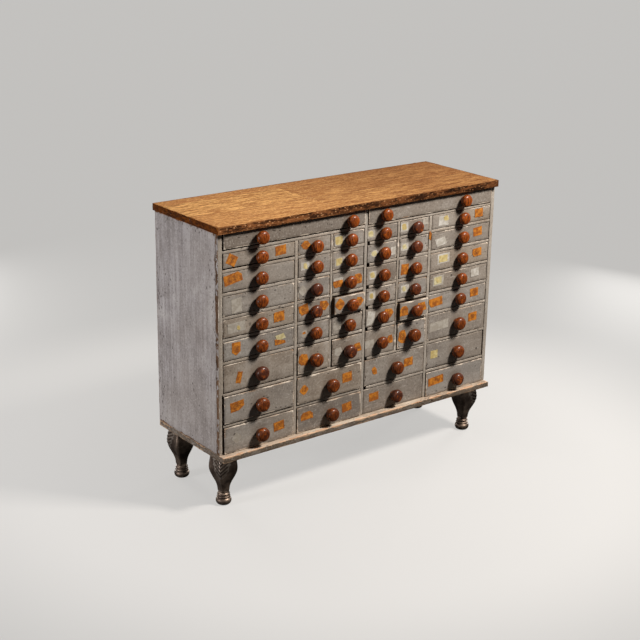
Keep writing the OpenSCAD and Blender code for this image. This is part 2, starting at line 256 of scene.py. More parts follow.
def makePrintGroup():  # plain dashes in rows, for the faded print on a paper label
    inputs = [("Vector", "Vector", None), ("Tone", "Float", 0.0)]
    group, given, result = startGroup("labelPrint", inputs, ["Ink", "Frame"])
    parts = addNode(group, "SeparateXYZ", {0: given["Vector"]}).outputs
    fromMiddle = [calc(group, "ABSOLUTE", calc(group, "SUBTRACT", part, 0.5)) for part in parts[:2]]
    row = times(group, parts[1], 13.0)
    inRow = calc(group, "ABSOLUTE", calc(group, "SUBTRACT", calc(group, "FRACT", row), 0.5))
    line = spread(group, inRow, 0.24, 0.36, 1.0, 0.0)
    steps = {0: times(group, parts[0], 8.0), 1: calc(group, "FLOOR", row), 2: given["Tone"]}
    dashes = noiseOf(group, addNode(group, "CombineXYZ", steps).outputs[0], 1.6, 1.0)
    inside = times(group, *(spread(group, part, 0.22, 0.30, 1.0, 0.0) for part in fromMiddle))
    ink = times(group, line, spread(group, dashes, 0.36, 0.46))
    group.links.new(times(group, ink, inside), result["Ink"])
    near = calc(group, "ABSOLUTE", calc(group, "SUBTRACT", calc(group, "MAXIMUM", *fromMiddle), 0.42))
    group.links.new(spread(group, near, 0.012, 0.028, 1.0, 0.0), result["Frame"])
    return group


woodGrain = makeGrainGroup()
edgeWear = makeWearGroup()
oldPaint = makePatinaGroup()
labelPrint = makePrintGroup()


def startMaterial(name):
    material = bpy.data.materials.new(name)
    material.use_nodes = True
    tree = material.node_tree
    return material, tree, tree.nodes["Principled BSDF"].inputs


def setBump(tree, sockets, height, strength, distance):
    bump = addNode(tree, "Bump", {"Height": height, "Strength": strength, "Distance": distance})
    tree.links.new(bump.outputs[0], sockets["Normal"])


def paintedWood(name, look):
    material, tree, shader = startMaterial(name)
    place, tone = ownPlace(tree)
    along = stretched(tree, place, look["along"])
    old = useGroup(tree, oldPaint, Vector=place, Along=along, Squeeze=look["squeeze"], Chips=look["chips"])
    worn = useGroup(tree, edgeWear, Vector=place, Width=look["wear"])
    wood = useGroup(tree, woodGrain, Vector=along, Scale=1.6)
    colour = blend(tree, spread(tree, old["Streaks"], 0.30, 0.70), look["dark"], look["light"])
    wide = noiseOf(tree, place, 2.3, 3.0, 0.5)
    colour = tint(tree, colour, spread(tree, wide, 0.36, 0.64), look["patch"], look["warm"])
    colour = tint(tree, colour, spread(tree, old["Blotches"], 0.46, 0.70), look["blotch"], look["stain"])
    colour = tint(tree, colour, spread(tree, old["Blotches"], 0.48, 0.30), look["bloom"], look["chalk"])
    colour = tint(tree, colour, spread(tree, tone, 0.0, 1.0), look["vary"], look["other"])
    # each front is darkened by its own amount, towards the stain colour
    colour = blend(tree, attributeOf(tree, "soot"), colour, look["stain"])
    colour = tint(tree, colour, spread(tree, old["Specks"], 0.54, 0.68), look["speck"], look["grime"])
    colour = tint(tree, colour, spread(tree, old["Specks"], 0.46, 0.32), look["speck"], look["chalk"])
    colour = tint(tree, colour, old["Scuffs"], look["scuff"], look["chalk"])
    colour = tint(tree, colour, worn["Rim"], look["rim"], look["stain"])
    if look["smudge"] > 0:
        off = addNode(tree, "Attribute", attribute_name="fromKnob").outputs["Vector"]
        away = addNode(tree, "VectorMath", {0: off}, operation="LENGTH").outputs["Value"]
        away = calc(tree, "ADD", away, times(tree, calc(tree, "SUBTRACT", old["Blotches"], 0.5), 0.05))
        colour = blend(tree, spread(tree, away, 0.016, 0.046, look["smudge"], 0.0), colour, look["stain"])
    colour = tint(tree, colour, old["Dents"], look["dents"], look["grime"])
    bare = blend(tree, spread(tree, wood["Fibre"], 0.36, 0.56), look["bareDark"], look["bare"])
    colour = blend(tree, worn["Bare"], colour, bare)
    colour = tint(tree, colour, old["Flecks"], look["fleck"], look["grime"])
    tree.links.new(colour, shader["Base Color"])
    shader["Specular IOR Level"].default_value = look["specular"]
    rough = calc(tree, "ADD", look["rough"], times(tree, old["Blotches"], 0.12))
    tree.links.new(calc(tree, "ADD", rough, times(tree, worn["Bare"], 0.15)), shader["Roughness"])
    height = times(tree, old["Streaks"], 0.4)
    raised = (
        (wood["Fibre"], 0.25), (old["Specks"], 0.25), (old["Dents"], -0.9), (old["Flecks"], -0.6),
        (worn["Bare"], -0.5),
    )
    for part, amount in raised:
        height = calc(tree, "ADD", height, times(tree, part, amount))
    setBump(tree, shader, height, 0.55, 0.0009)
    return material


def plainWood(name, look):
    material, tree, shader = startMaterial(name)
    place, tone = ownPlace(tree)
    along = stretched(tree, place, look["along"])
    wood = useGroup(tree, woodGrain, Vector=along, Scale=look["scale"])
    worn = useGroup(tree, edgeWear, Vector=place, Width=look["wear"])
    low, high = look["contrast"]
    colour = blend(tree, spread(tree, wood["Fibre"], low, high), look["dark"], look["light"])
    colour = tint(tree, colour, wood["Figure"], look["figure"], look["late"])
    clouds = noiseOf(tree, place, 4.2, 4.0, 0.6, 0.4)
    colour = tint(tree, colour, spread(tree, clouds, 0.42, 0.66), look["cloud"], look["stain"])
    colour = tint(tree, colour, spread(tree, tone, 0.0, 1.0), look["vary"], look["other"])
    short = noiseOf(tree, stretched(tree, place, look["mottled"]), 1.0, 4.0, 0.7, 0.3)
    colour = tint(tree, colour, spread(tree, short, 0.52, 0.66), look["mottle"], look["dark"])
    colour = tint(tree, colour, spread(tree, short, 0.46, 0.34), look["mottle"], look["light"])
    cells = {"Vector": stretched(tree, place, look["flecks"]), "Scale": 1.0, "Randomness": 1.0}
    flecks = spread(tree, addNode(tree, "TexVoronoi", cells).outputs["Distance"], 0.16, 0.30, 1.0, 0.0)
    colour = tint(tree, colour, flecks, look["fleck"], look["fleckColour"])
    colour = tint(tree, colour, wood["Pores"], look["pore"], look["poreColour"])
    colour = tint(tree, colour, worn["Rim"], look["rim"], look["stain"])
    colour = tint(tree, colour, worn["Bare"], 0.7, look["bare"])
    if look["lean"]:  # painted light: the top is made lighter at its left end and darker at its right, as light falls across it
        across = addNode(tree, "SeparateXYZ", {0: addNode(tree, "TexCoord").outputs["Object"]}).outputs[0]
        across = calc(tree, "ADD", across, times(tree, calc(tree, "SUBTRACT", clouds, 0.5), 0.5))
        left, right = look["lean"]
        colour = blend(
            tree, 1.0, colour, blend(tree, spread(tree, across, -0.55, 0.4), left, right), "MULTIPLY"
        )
    tree.links.new(colour, shader["Base Color"])
    tree.links.new(calc(tree, "ADD", look["rough"], times(tree, wood["Fibre"], 0.16)), shader["Roughness"])
    shader["Specular IOR Level"].default_value = look["specular"]
    height = calc(tree, "SUBTRACT", wood["Fibre"], times(tree, wood["Pores"], 0.7))
    setBump(tree, shader, height, look["bump"], 0.0006)
    return material


drawerLook = {
    "along": (0.9, 9.0, 9.0), "squeeze": (0.9, 1.8, 1.8), "light": paint(166, 157, 147),
    "dark": paint(137, 128, 119), "warm": paint(154, 137, 118), "other": paint(143, 140, 137),
    "stain": paint(104, 90, 77), "chalk": paint(200, 194, 187), "grime": paint(50, 41, 35),
    # bare: paint worn through at the arrises, made paler as a painted highlight on lit arrises
    "bare": paint(218, 205, 189), "bareDark": paint(150, 124, 102), "patch": 0.5, "blotch": 0.65,
    "bloom": 0.35, "vary": 0.5, "speck": 0.42, "scuff": 0.5, "rim": 0.26, "smudge": 0.45, "dents": 0.7,
    "fleck": 0.7, "chips": 0.055, "wear": 0.0011, "rough": 0.6, "specular": 0.06,
}
railLook = dict(
    drawerLook, light=paint(186, 175, 162), dark=paint(158, 148, 136), warm=paint(176, 161, 145),
    # bare: paint worn through at the arrises, made paler as a painted highlight on lit arrises
    other=paint(166, 161, 154), stain=paint(122, 108, 94), bare=paint(226, 215, 202), wear=0.0007, smudge=0,
    blotch=0.5,
)
uprightLook = dict(railLook, along=(9.0, 9.0, 0.9), squeeze=(1.0, 1.0, 0.5))
sideLook = dict(
    drawerLook, along=(16.0, 16.0, 0.9), squeeze=(2.1, 2.1, 0.75), light=paint(176, 169, 166),
    dark=paint(132, 124, 121), warm=paint(154, 144, 136), other=paint(150, 146, 146),
    stain=paint(116, 107, 101), bare=paint(112, 86, 66), bareDark=paint(60, 44, 34), patch=0.6, blotch=0.5,
    vary=0.2, speck=0.4, smudge=0, rim=0.3, chips=0.10, fleck=0.85, wear=0.0030,
)
baseLook = dict(
    drawerLook, light=paint(200, 185, 166), dark=paint(168, 152, 134), warm=paint(190, 166, 146),
    other=paint(180, 166, 150), stain=paint(130, 110, 92), chalk=paint(222, 210, 196),
    bare=paint(214, 180, 152), bareDark=paint(176, 128, 94), wear=0.0050, smudge=0, rim=0.0, vary=0.2,
    scuff=0.8, chips=0.10,
)
baseEdgeLook = dict(
    drawerLook, light=paint(122, 110, 98), dark=paint(96, 86, 76), warm=paint(114, 97, 80),
    other=paint(108, 100, 92), stain=paint(76, 62, 50), bare=paint(172, 146, 120),
    bareDark=paint(118, 88, 64), wear=0.0026, smudge=0, vary=0.2, scuff=0.4, chips=0.10,
)
oakLook = {
    "along": (1.6, 13.0, 13.0), "scale": 1.0, "contrast": (0.38, 0.62), "light": paint(220, 168, 106),
    "dark": paint(138, 90, 52), "late": paint(138, 92, 54), "stain": paint(156, 103, 62),
    "other": paint(150, 98, 60), "fleckColour": paint(236, 192, 134), "poreColour": paint(80, 48, 26),
    "bare": paint(104, 64, 36), "flecks": (50.0, 300.0, 300.0), "figure": 0.3, "cloud": 0.5, "vary": 0.7,
    "fleck": 0.5, "pore": 0.8, "mottle": 0.85, "mottled": (70.0, 230.0, 230.0), "rim": 0.15, "wear": 0.0042,
    # lean: painted light, lighter at the left end and darker at the right
    "rough": 0.66, "bump": 0.7, "specular": 0.05, "lean": ((1.30, 1.34, 1.36, 1), (0.66, 0.62, 0.62, 1)),
}
oakEdgeLook = dict(
    oakLook, light=paint(150, 98, 60), dark=paint(44, 26, 15), late=paint(70, 42, 25),
    stain=paint(40, 24, 15), other=paint(96, 58, 34), fleckColour=paint(206, 156, 112),
    bare=paint(136, 92, 58), fleck=0.85, wear=0.0020, rough=0.7, flecks=(75.0, 160.0, 160.0),
    contrast=(0.42, 0.58), mottled=(60.0, 120.0, 120.0), mottle=0.9, bump=1.0, vary=0.3,
    # lean: painted light, lighter at the left end and darker at the right
    lean=((1.05, 1.0, 0.95, 1), (0.5, 0.45, 0.4, 1)),
)
oakEndLook = dict(
    oakEdgeLook, along=(13.0, 4.0, 13.0), light=paint(108, 56, 14), dark=paint(52, 25, 7),
    late=paint(66, 34, 9), stain=paint(46, 22, 8), other=paint(90, 44, 10), fleckColour=paint(140, 80, 28),
    bare=paint(140, 82, 34), fleck=0.35, flecks=(260.0, 160.0, 260.0), mottled=(130.0, 70.0, 130.0),
    wear=0.0014, lean=None,
)
boxLook = dict(
    oakLook, along=(13.0, 1.1, 13.0), contrast=(0.32, 0.68), light=paint(206, 172, 130),
    dark=paint(170, 132, 92), late=paint(158, 118, 80), stain=paint(140, 104, 70),
    other=paint(188, 158, 122), bare=paint(150, 116, 82), fleck=0.0, figure=0.4, pore=0.25, rim=0.35,
    rough=0.62, flecks=(60.0, 60.0, 60.0), poreColour=paint(120, 86, 56), vary=0.5, bump=0.35, mottle=0.2,
    cloud=0.42, specular=0.25, lean=None,
)
# dirty raw wood, made darker still as painted shade for the gaps and the hidden sides of fronts and rails
dirtAndShadeLook = dict(
    boxLook, light=paint(84, 67, 51), dark=paint(54, 41, 31), late=paint(50, 38, 28), stain=paint(40, 31, 24),
    other=paint(70, 56, 43), bare=paint(64, 49, 37),
)
backLook = dict(
    boxLook, along=(13.0, 13.0, 1.1), light=paint(164, 132, 98), dark=paint(118, 88, 62),
    late=paint(104, 76, 54), stain=paint(84, 62, 46), other=paint(140, 108, 80), rough=0.7, cloud=0.55,
)
knobLook = {
    "light": paint(184, 92, 26), "dark": paint(76, 30, 10), "deep": paint(44, 19, 8),
    "old": paint(84, 46, 36), "along": (34.0, 34.0, 5.0), "scale": 1.6, "rough": 0.42, "specular": 0.08,
    "coat": 0.5, "coatRough": 0.25,
}
paperLooks = {
    "orange": {
        "light": paint(204, 126, 28), "dark": paint(150, 82, 12), "ink": paint(58, 30, 12), "inkAmount": 0.75,
        "frame": 0.2,
    },
    "cream": {
        "light": paint(210, 200, 160), "dark": paint(186, 172, 124), "ink": paint(150, 132, 92),
        "inkAmount": 0.3, "frame": 0.1,
    },
    "white": {
        "light": paint(200, 195, 187), "dark": paint(174, 167, 156), "ink": paint(140, 130, 116),
        "inkAmount": 0.3, "frame": 0.0,
    },
    "ghost": {
        "light": paint(176, 169, 158), "dark": paint(156, 147, 135), "ink": paint(146, 136, 124),
        "inkAmount": 0.1, "frame": 0.0,
    },
    "yellow": {
        "light": paint(206, 190, 136), "dark": paint(182, 160, 102), "ink": paint(140, 112, 66),
        "inkAmount": 0.3, "frame": 0.0,
    },
}
ironLook = {
    # worn: the pale colour of rubbed edges, also used for painted highlights
    "dark": paint(68, 55, 47), "light": paint(128, 111, 97), "worn": paint(224, 212, 198),
    "groove": paint(30, 24, 20), "rough": 0.32,
}
steelLook = {
    "dark": paint(96, 94, 92), "light": paint(150, 148, 146), "rust": paint(104, 66, 42), "rough": 0.38,
}


def knobVarnish(look):
    material, tree, shader = startMaterial("knobVarnish")
    place, tone = ownPlace(tree)
    wood = useGroup(tree, woodGrain, Vector=stretched(tree, place, look["along"]), Scale=look["scale"])
    colour = blend(tree, spread(tree, wood["Fibre"], 0.40, 0.60), look["dark"], look["light"])
    colour = tint(tree, colour, wood["Figure"], 0.35, look["dark"])
    colour = blend(tree, spread(tree, tone, 0.74, 0.98, 0.0, 0.8), colour, look["old"])
    colour = blend(tree, attributeOf(tree, "deep"), colour, look["deep"])
    # painted shade in the crease between collar and head
    colour = tint(tree, colour, attributeOf(tree, "crease"), 0.7, look["deep"])
    worn = noiseOf(tree, place, 70.0, 4.0, 0.6)
    colour = blend(tree, spread(tree, worn, 0.54, 0.68, 0.0, 0.5), colour, look["light"])
    tree.links.new(colour, shader["Base Color"])
    tree.links.new(calc(tree, "ADD", look["rough"], times(tree, worn, 0.2)), shader["Roughness"])
    shader["Specular IOR Level"].default_value = look["specular"]
    shader["Coat Weight"].default_value = look["coat"]
    shader["Coat Roughness"].default_value = look["coatRough"]
    setBump(tree, shader, wood["Fibre"], 0.25, 0.0004)
    return material


def oldPaper(kind, look):
    material, tree, shader = startMaterial(kind + "Paper")
    place, tone = ownPlace(tree)
    sheet = addNode(tree, "TexCoord").outputs["UV"]
    ink = useGroup(tree, labelPrint, Vector=sheet, Tone=times(tree, tone, 37.0))
    blots = noiseOf(tree, place, 70.0, 5.0, 0.65)
    colour = blend(tree, spread(tree, blots, 0.40, 0.62), look["dark"], look["light"])
    fade = noiseOf(tree, place, 160.0, 3.0)
    inked = times(tree, ink["Ink"], spread(tree, fade, 0.30, 0.50))
    inked = times(tree, inked, spread(tree, tone, 0.2, 0.8, 0.35, 1.0))
    colour = tint(tree, colour, inked, look["inkAmount"], look["ink"])
    colour = tint(tree, colour, ink["Frame"], look["frame"], look["ink"])
    tree.links.new(colour, shader["Base Color"])
    shader["Roughness"].default_value = 0.72
    setBump(tree, shader, blots, 0.35, 0.0004)
    return material


def castIron(look):
    material, tree, shader = startMaterial("legIron")
    place = ownPlace(tree)[0]
    clouds = noiseOf(tree, place, 26.0, 5.0, 0.6)
    pits = noiseOf(tree, place, 240.0, 4.0, 0.6)
    colour = blend(tree, spread(tree, clouds, 0.36, 0.68), look["dark"], look["light"])
    # pale on convex edges: partly rubbed wear, partly painted highlight
    rub = spread(tree, addNode(tree, "NewGeometry").outputs["Pointiness"], 0.53, 0.60)
    colour = tint(tree, colour, rub, 0.6, look["worn"])
    leaf = attributeOf(tree, "leaf")
    colour = blend(tree, spread(tree, leaf, 0.35, 0.9, 0.0, 0.55), colour, look["groove"])
    # pale along the edges of the leaf's ribs: painted highlight
    ridgeHighlight = times(tree, spread(tree, leaf, 0.001, 0.02), spread(tree, leaf, 0.4, 0.1, 0.0, 0.25))
    colour = blend(tree, ridgeHighlight, colour, look["worn"])
    tree.links.new(colour, shader["Base Color"])
    shader["Metallic"].default_value = 0.8
    tree.links.new(calc(tree, "ADD", look["rough"], times(tree, pits, 0.25)), shader["Roughness"])
    setBump(tree, shader, pits, 0.3, 0.0006)
    return material


def oldSteel(look):
    material, tree, shader = startMaterial("boltSteel")
    place = ownPlace(tree)[0]
    spots = noiseOf(tree, place, 130.0, 5.0, 0.6)
    colour = blend(tree, spread(tree, spots, 0.35, 0.65), look["dark"], look["light"])
    colour = blend(tree, spread(tree, noiseOf(tree, place, 60.0, 4.0), 0.5, 0.66), colour, look["rust"])
    tree.links.new(colour, shader["Base Color"])
    shader["Metallic"].default_value = 0.8
    tree.links.new(calc(tree, "ADD", look["rough"], times(tree, spots, 0.3)), shader["Roughness"])
    return material


drawerPaint = paintedWood("drawerPaint", drawerLook)
railPaint = paintedWood("railPaint", railLook)
uprightPaint = paintedWood("uprightPaint", uprightLook)
sidePaint = paintedWood("sidePaint", sideLook)
basePaint = paintedWood("basePaint", baseLook)
baseEdgePaint = paintedWood("baseEdgePaint", baseEdgeLook)
topOak = plainWood("topOak", oakLook)
topEdge = plainWood("topEdge", oakEdgeLook)
topEnd = plainWood("topEnd", oakEndLook)
boxWood = plainWood("boxWood", boxLook)
grimyWood = plainWood("grimyWood", dirtAndShadeLook)
backWood = plainWood("backWood", backLook)
knobWood = knobVarnish(knobLook)
papers = {kind: oldPaper(kind, look) for kind, look in paperLooks.items()}
legIron = castIron(ironLook)
boltSteel = oldSteel(steelLook)
print("materials made")


def startBlock(name, low, high):
    bpy.ops.object.select_all(action="DESELECT")
    low, high = Vector(low), Vector(high)
    bpy.ops.mesh.primitive_cube_add(size=1, location=(low + high) / 2, scale=high - low)
    piece = bpy.context.object
    piece.name = piece.data.name = name
    bpy.ops.object.transform_apply(location=True, rotation=True, scale=True)
    return piece


def pick(piece, kind, test):  # selects, in edit mode, what passes the test and nothing else
    bpy.ops.mesh.select_mode(type=kind)
    bpy.ops.mesh.select_all(action="DESELECT")
    mesh = bmesh.from_edit_mesh(piece.data)
    for part in {"VERT": mesh.verts, "EDGE": mesh.edges, "FACE": mesh.faces}[kind]:
        if test(part):
            part.select_set(True)
    bmesh.update_edit_mesh(piece.data)


def cutAcross(piece, axis, cuts):
    def runsAlong(edge):
        way = edge.verts[1].co - edge.verts[0].co
        return abs(way[axis]) > 0.99 * way.length

    pick(piece, "EDGE", runsAlong)
    bpy.ops.mesh.subdivide(number_cuts=cuts)


def applyModifier(piece, kind, **settings):
    bpy.context.view_layer.objects.active = piece
    modifier = piece.modifiers.new(kind, kind)
    for key, value in settings.items():
        setattr(modifier, key, value)
    bpy.ops.object.modifier_apply(modifier=modifier.name)


def cloudTexture(name, size, depth=2):
    texture = bpy.data.textures.new(name, "CLOUDS")
    texture.noise_scale, texture.noise_depth = size, depth
    return texture


waves = cloudTexture("waves", 0.055)
chips = cloudTexture("chips", 0.009)
tears = cloudTexture("tears", 0.0045)


def keep(piece, name, values, kind="FLOAT"):  # one value for the whole piece, or one for each vertex
    field, size = {"FLOAT": ("value", 1), "FLOAT_VECTOR": ("vector", 3)}[kind]
    attribute = piece.data.attributes.get(name) or piece.data.attributes.new(name, kind, "POINT")
    attribute.data.foreach_set(
        field, np.resize(np.asarray(values, np.float32), len(piece.data.vertices) * size)
    )


def placesOf(piece):
    places = np.empty(len(piece.data.vertices) * 3, np.float32)
    piece.data.vertices.foreach_get("co", places)
    return places.reshape(-1, 3)


def setMaterials(piece, *materials):
    piece.data.materials.clear()
    for material in materials:
        piece.data.materials.append(material)


def paintFaces(piece, materials, choose):
    setMaterials(piece, *materials)
    for face in piece.data.polygons:
        face.material_index = choose(face)


def finishBoard(piece, low, high, tone, wear, edgeRound=0.9 * mm, wobble=0.35 * mm, chipped=0.0, whole=None):
    applyModifier(
        piece, "BEVEL", width=edgeRound, segments=2, limit_method="ANGLE", angle_limit=math.radians(60)
    )
    applyModifier(piece, "DISPLACE", texture=waves, texture_coords="LOCAL", strength=wobble, mid_level=0.5)
    places = placesOf(piece)
    low, high = whole or (low, high)  # the arrises that wear are those of the whole piece
    edge = np.sort(np.minimum(places - np.array(low), np.array(high) - places), axis=1)[:, 1]
    if chipped:
        rim = piece.vertex_groups.new(name="rim")
        for index in np.nonzero(edge < edgeRound * 1.2)[0]:
            rim.add([int(index)], 1.0, "REPLACE")
        chipping = {"texture": chips, "texture_coords": "LOCAL", "mid_level": 0.85, "vertex_group": "rim"}
        applyModifier(piece, "DISPLACE", strength=chipped, **chipping)
        piece.vertex_groups.clear()
    keep(piece, "edge", np.maximum(edge, 0))
    keep(piece, "tone", tone)
    keep(piece, "wear", wear)
    bpy.ops.object.select_all(action="DESELECT")
    piece.select_set(True)
    bpy.ops.object.shade_smooth_by_angle(angle=math.radians(35))


def makeBoard(name, low, high, cell, tone, wear=1.0, **finish):
    piece = startBlock(name, low, high)
    bpy.ops.object.mode_set(mode="EDIT")
    for axis in range(3):
        cuts = round((high[axis] - low[axis]) / cell[axis]) - 1
        if cuts > 0:
            cutAcross(piece, axis, cuts)
    bpy.ops.object.mode_set(mode="OBJECT")
    finishBoard(piece, low, high, tone, wear, **finish)
    return piece


def joined(name, pieces):
    bpy.ops.object.select_all(action="DESELECT")
    for piece in pieces:
        piece.select_set(True)
    bpy.context.view_layer.objects.active = pieces[0]
    if len(pieces) > 1:
        bpy.ops.object.join()
    pieces[0].name = pieces[0].data.name = name
    return pieces[0]


def copied(piece, name, move=(0, 0, 0), turn=Matrix()):
    twin = piece.copy()
    twin.data = piece.data.copy()
    twin.name = twin.data.name = name
    bpy.context.scene.collection.objects.link(twin)
    twin.data.transform(Matrix.Translation(move) @ turn)
    return twin


def attach(piece, body, slot, *nodes):
    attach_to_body(piece, body)
    if nodes:
        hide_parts(*nodes)


fit = {"gap": 1.2 * mm, "run": 0.3 * mm, "drawerDepth": 345 * mm, "front": 14 * mm}


def opening(node):  # left, right, bottom and top of a drawer's opening, and where its front face is
    low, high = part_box(node)
    return (
        low.x - fit["gap"], high.x + fit["gap"], low.z - fit["run"], high.z + fit["gap"],
        high.y - fit["drawerDepth"],
    )


columns = [opening(f"drawer_{c}1")[:2] for c in letters]
rows = [opening("drawer_top_left")[2:4]] + [opening(f"drawer_a{r}")[2:4] for r in range(1, 9)]
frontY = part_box("front_strips")[0].y
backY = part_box("back_boards")[0].y
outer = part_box("front_strips")
floorZ, topZ = outer[0].z, outer[1].z
leftX, rightX = outer[0].x, outer[1].x

railSetBack = 1.0 * mm


def inward(low, high, by):  # a little smaller, so that an uneven face stays inside the board's place
    return tuple(v + by for v in low), tuple(v - by for v in high)


topBoard = {
    "seams": (58 * mm, 219 * mm), "joint": 454 * mm, "inset": 0.2 * mm, "cell": (11 * mm, 14 * mm, 6 * mm),
    "finish": {"edgeRound": 0.4 * mm, "chipped": 2.6 * mm},
}


def makeTop():
    low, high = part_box("top_boards")
    jointX = low.x + topBoard["joint"]
    ys = [low.y, high.y - topBoard["seams"][1], high.y - topBoard["seams"][0], high.y]
    spans = [  # left, right, row and tone
        (low.x, high.x, 2, 0.75), (low.x, jointX, 0, 0.45), (jointX, high.x, 0, 0.30),
        (low.x, jointX, 1, 0.1), (jointX, high.x, 1, 0.40),
    ]
    whole = inward(low, high, topBoard["inset"])
    boards = []
    for x0, x1, row, tone in spans:
        a, b = inward((x0, ys[row], low.z), (x1, ys[row + 1], high.z), topBoard["inset"])
        board = makeBoard("topBoard", a, b, topBoard["cell"], tone, whole=whole, **topBoard["finish"])
        paintFaces(
            board, (topOak, topEdge, topEnd),
            lambda face: 0 if abs(face.normal.z) > 0.5 else 2 if abs(face.normal.x) > 0.7 else 1,
        )
        boards.append(board)
    attach(joined("topBoards", boards), "carcass", "top_oak", "top_boards")


sideBoard = {
    "inset": 0.2 * mm, "cell": (8 * mm, 16 * mm, 20 * mm),
    "finish": {"edgeRound": 1.0 * mm, "wobble": 0.5 * mm, "chipped": 1.6 * mm},
}


def makeSides():
    for node, name, tone in (("side_left", "sideLeft", 0.2), ("side_right", "sideRight", 0.6)):
        low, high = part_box(node)
        a, b = inward(low, high, sideBoard["inset"])
        board = makeBoard(name, a, b, sideBoard["cell"], tone, **sideBoard["finish"])
        setMaterials(board, sidePaint)
        attach(board, "carcass", "side_paint", node)


strip = {
    "deep": 13 * mm, "wide": 16 * mm, "cut": 4.5 * mm, "setBack": railSetBack * 0.4, "inset": 0.15 * mm,
    "leftCuts": 60, "cell": (8 * mm, 7 * mm, 12 * mm),
}


def makeStrips():
    low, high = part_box("front_strips")
    y0, back = low.y + strip["setBack"], low.y + strip["deep"]
    stepZ = rows[7][1]  # the left one is narrower below this
    a, b = inward((low.x, y0, low.z), (low.x + strip["wide"] - strip["cut"], back, high.z), strip["inset"])
    left = startBlock("stripLeft", a, b)
    bpy.ops.object.mode_set(mode="EDIT")
    cutAcross(left, 2, strip["leftCuts"])
    pick(left, "FACE", lambda face: face.normal.x > 0.9 and face.calc_center_median().z > stepZ)
    bpy.ops.mesh.extrude_region_move(TRANSFORM_OT_translate={"value": (strip["cut"], 0, 0)})
    bpy.ops.object.mode_set(mode="OBJECT")
    finishBoard(left, a, (b[0] + strip["cut"], b[1], b[2]), 0.4, 1.6, chipped=1.0 * mm)
    a, b = inward((high.x - strip["wide"], y0, low.z), (high.x, back, high.z), strip["inset"])
    right = makeBoard("stripRight", a, b, strip["cell"], 0.7, 1.0, chipped=0.8 * mm)
    strips = joined("frontStrips", [left, right])
    paintFaces(strips, (uprightPaint, sidePaint), lambda face: 1 if abs(face.normal.x) > 0.7 else 0)
    attach(strips, "carcass", "rail_paint", "front_strips")


def paintFront(piece, painted):  # only what faces the room is painted, and the rest is dirty wood, made darker still as painted shade for the gaps
    paintFaces(piece, (painted, grimyWood), lambda face: 0 if face.normal.y < -0.3 else 1)


uprightBoard = {
    "inset": 0.12 * mm, "cell": (6 * mm, 40 * mm, 12 * mm),
    "finish": {"wobble": 0.5 * mm, "chipped": 0.8 * mm},
    "tall": 3, "thin": (2, 4),  # the one that reaches the top, and those that stop at the wide lower drawers
}


def makeUprights():
    y0 = frontY + railSetBack
    boards = []
    for c in range(1, 6):
        bottom = rows[6][0] if c in uprightBoard["thin"] else floorZ
        top = topZ if c == uprightBoard["tall"] else rows[1][1]
        a, b = inward((columns[c - 1][1], y0, bottom), (columns[c][0], backY, top), uprightBoard["inset"])
        boards.append(makeBoard(
            "upright", a, b, uprightBoard["cell"], mixed.random(), 1.0, **uprightBoard["finish"]
        ))
    uprights = joined("uprights", boards)
    paintFront(uprights, uprightPaint)
    attach(uprights, "carcass", "rail_paint", "uprights")


shelf = {
    "inset": 0.12 * mm, "cell": (13 * mm, 60 * mm, 5 * mm), "notchWide": 11.5 * mm, "notchDeep": 30 * mm,
    "finish": {"wobble": 0.5 * mm, "chipped": 0.9 * mm},
}


def makeShelf(first, last, r):
    low, high = (
        (columns[first][0], frontY + railSetBack, rows[r + 1][1]), (columns[last][1], backY, rows[r][0])
    )
    a, b = inward(low, high, shelf["inset"])
    if first != 3 or r == 0:
        return makeBoard("shelf", a, b, shelf["cell"], mixed.random(), 1.0, **shelf["finish"])
    notchY = frontY + shelf["notchDeep"]
    board = startBlock("shelf", (a[0] + shelf["notchWide"], a[1], a[2]), b)
    bpy.ops.object.mode_set(mode="EDIT")
    cutAcross(board, 0, round((b[0] - a[0]) / shelf["cell"][0]))
    bpy.ops.mesh.select_all(action="SELECT")
    bpy.ops.mesh.bisect(plane_co=(0, notchY, 0), plane_no=(0, 1, 0))
    pick(board, "FACE", lambda face: face.normal.x < -0.9 and face.calc_center_median().y > notchY)
    bpy.ops.mesh.extrude_region_move(TRANSFORM_OT_translate={"value": (-shelf["notchWide"], 0, 0)})
    cutAcross(board, 2, 1)
    bpy.ops.object.mode_set(mode="OBJECT")
    finishBoard(board, a, b, mixed.random(), 1.0, **shelf["finish"])
    return board


def makeShelves():
    for name, node, outside, one, two in (
        ("shelvesLeft", "shelves_left", 0, 1, 2), ("shelvesRight", "shelves_right", 5, 3, 4),
    ):
        spans = [(min(outside, one), max(outside, two), 0)] + [(outside, outside, r) for r in range(1, 8)]
        spans += [(c, c, r) for c in (one, two) for r in range(1, 6)] + [(one, two, r) for r in (6, 7)]
        shelves = joined(name, [makeShelf(*span) for span in spans])
        paintFront(shelves, railPaint)
        attach(shelves, "carcass", "rail_paint", node)


baseBoard = {
    "inset": 0.25 * mm, "cell": (12 * mm, 14 * mm, 5 * mm),
    "finish": {"edgeRound": 0.9 * mm, "wobble": 0.5 * mm, "chipped": 1.5 * mm},
}


def makeBase():
    low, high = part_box("base_board")
    a, b = inward(low, high, baseBoard["inset"])
    board = makeBoard("baseBoard", a, b, baseBoard["cell"], 0.3, 1.3, **baseBoard["finish"])
    paintFaces(board, (basePaint, baseEdgePaint), lambda face: 0 if face.normal.z > 0.6 else 1)
    attach(board, "carcass", "base_paint", "base_board")


nail = {
    "sides": 12, "radius": 3.2 * mm, "stands": 0.7 * mm, "rim": 0.7 * mm, "dome": 0.3 * mm, "sunk": 1.0 * mm,
}


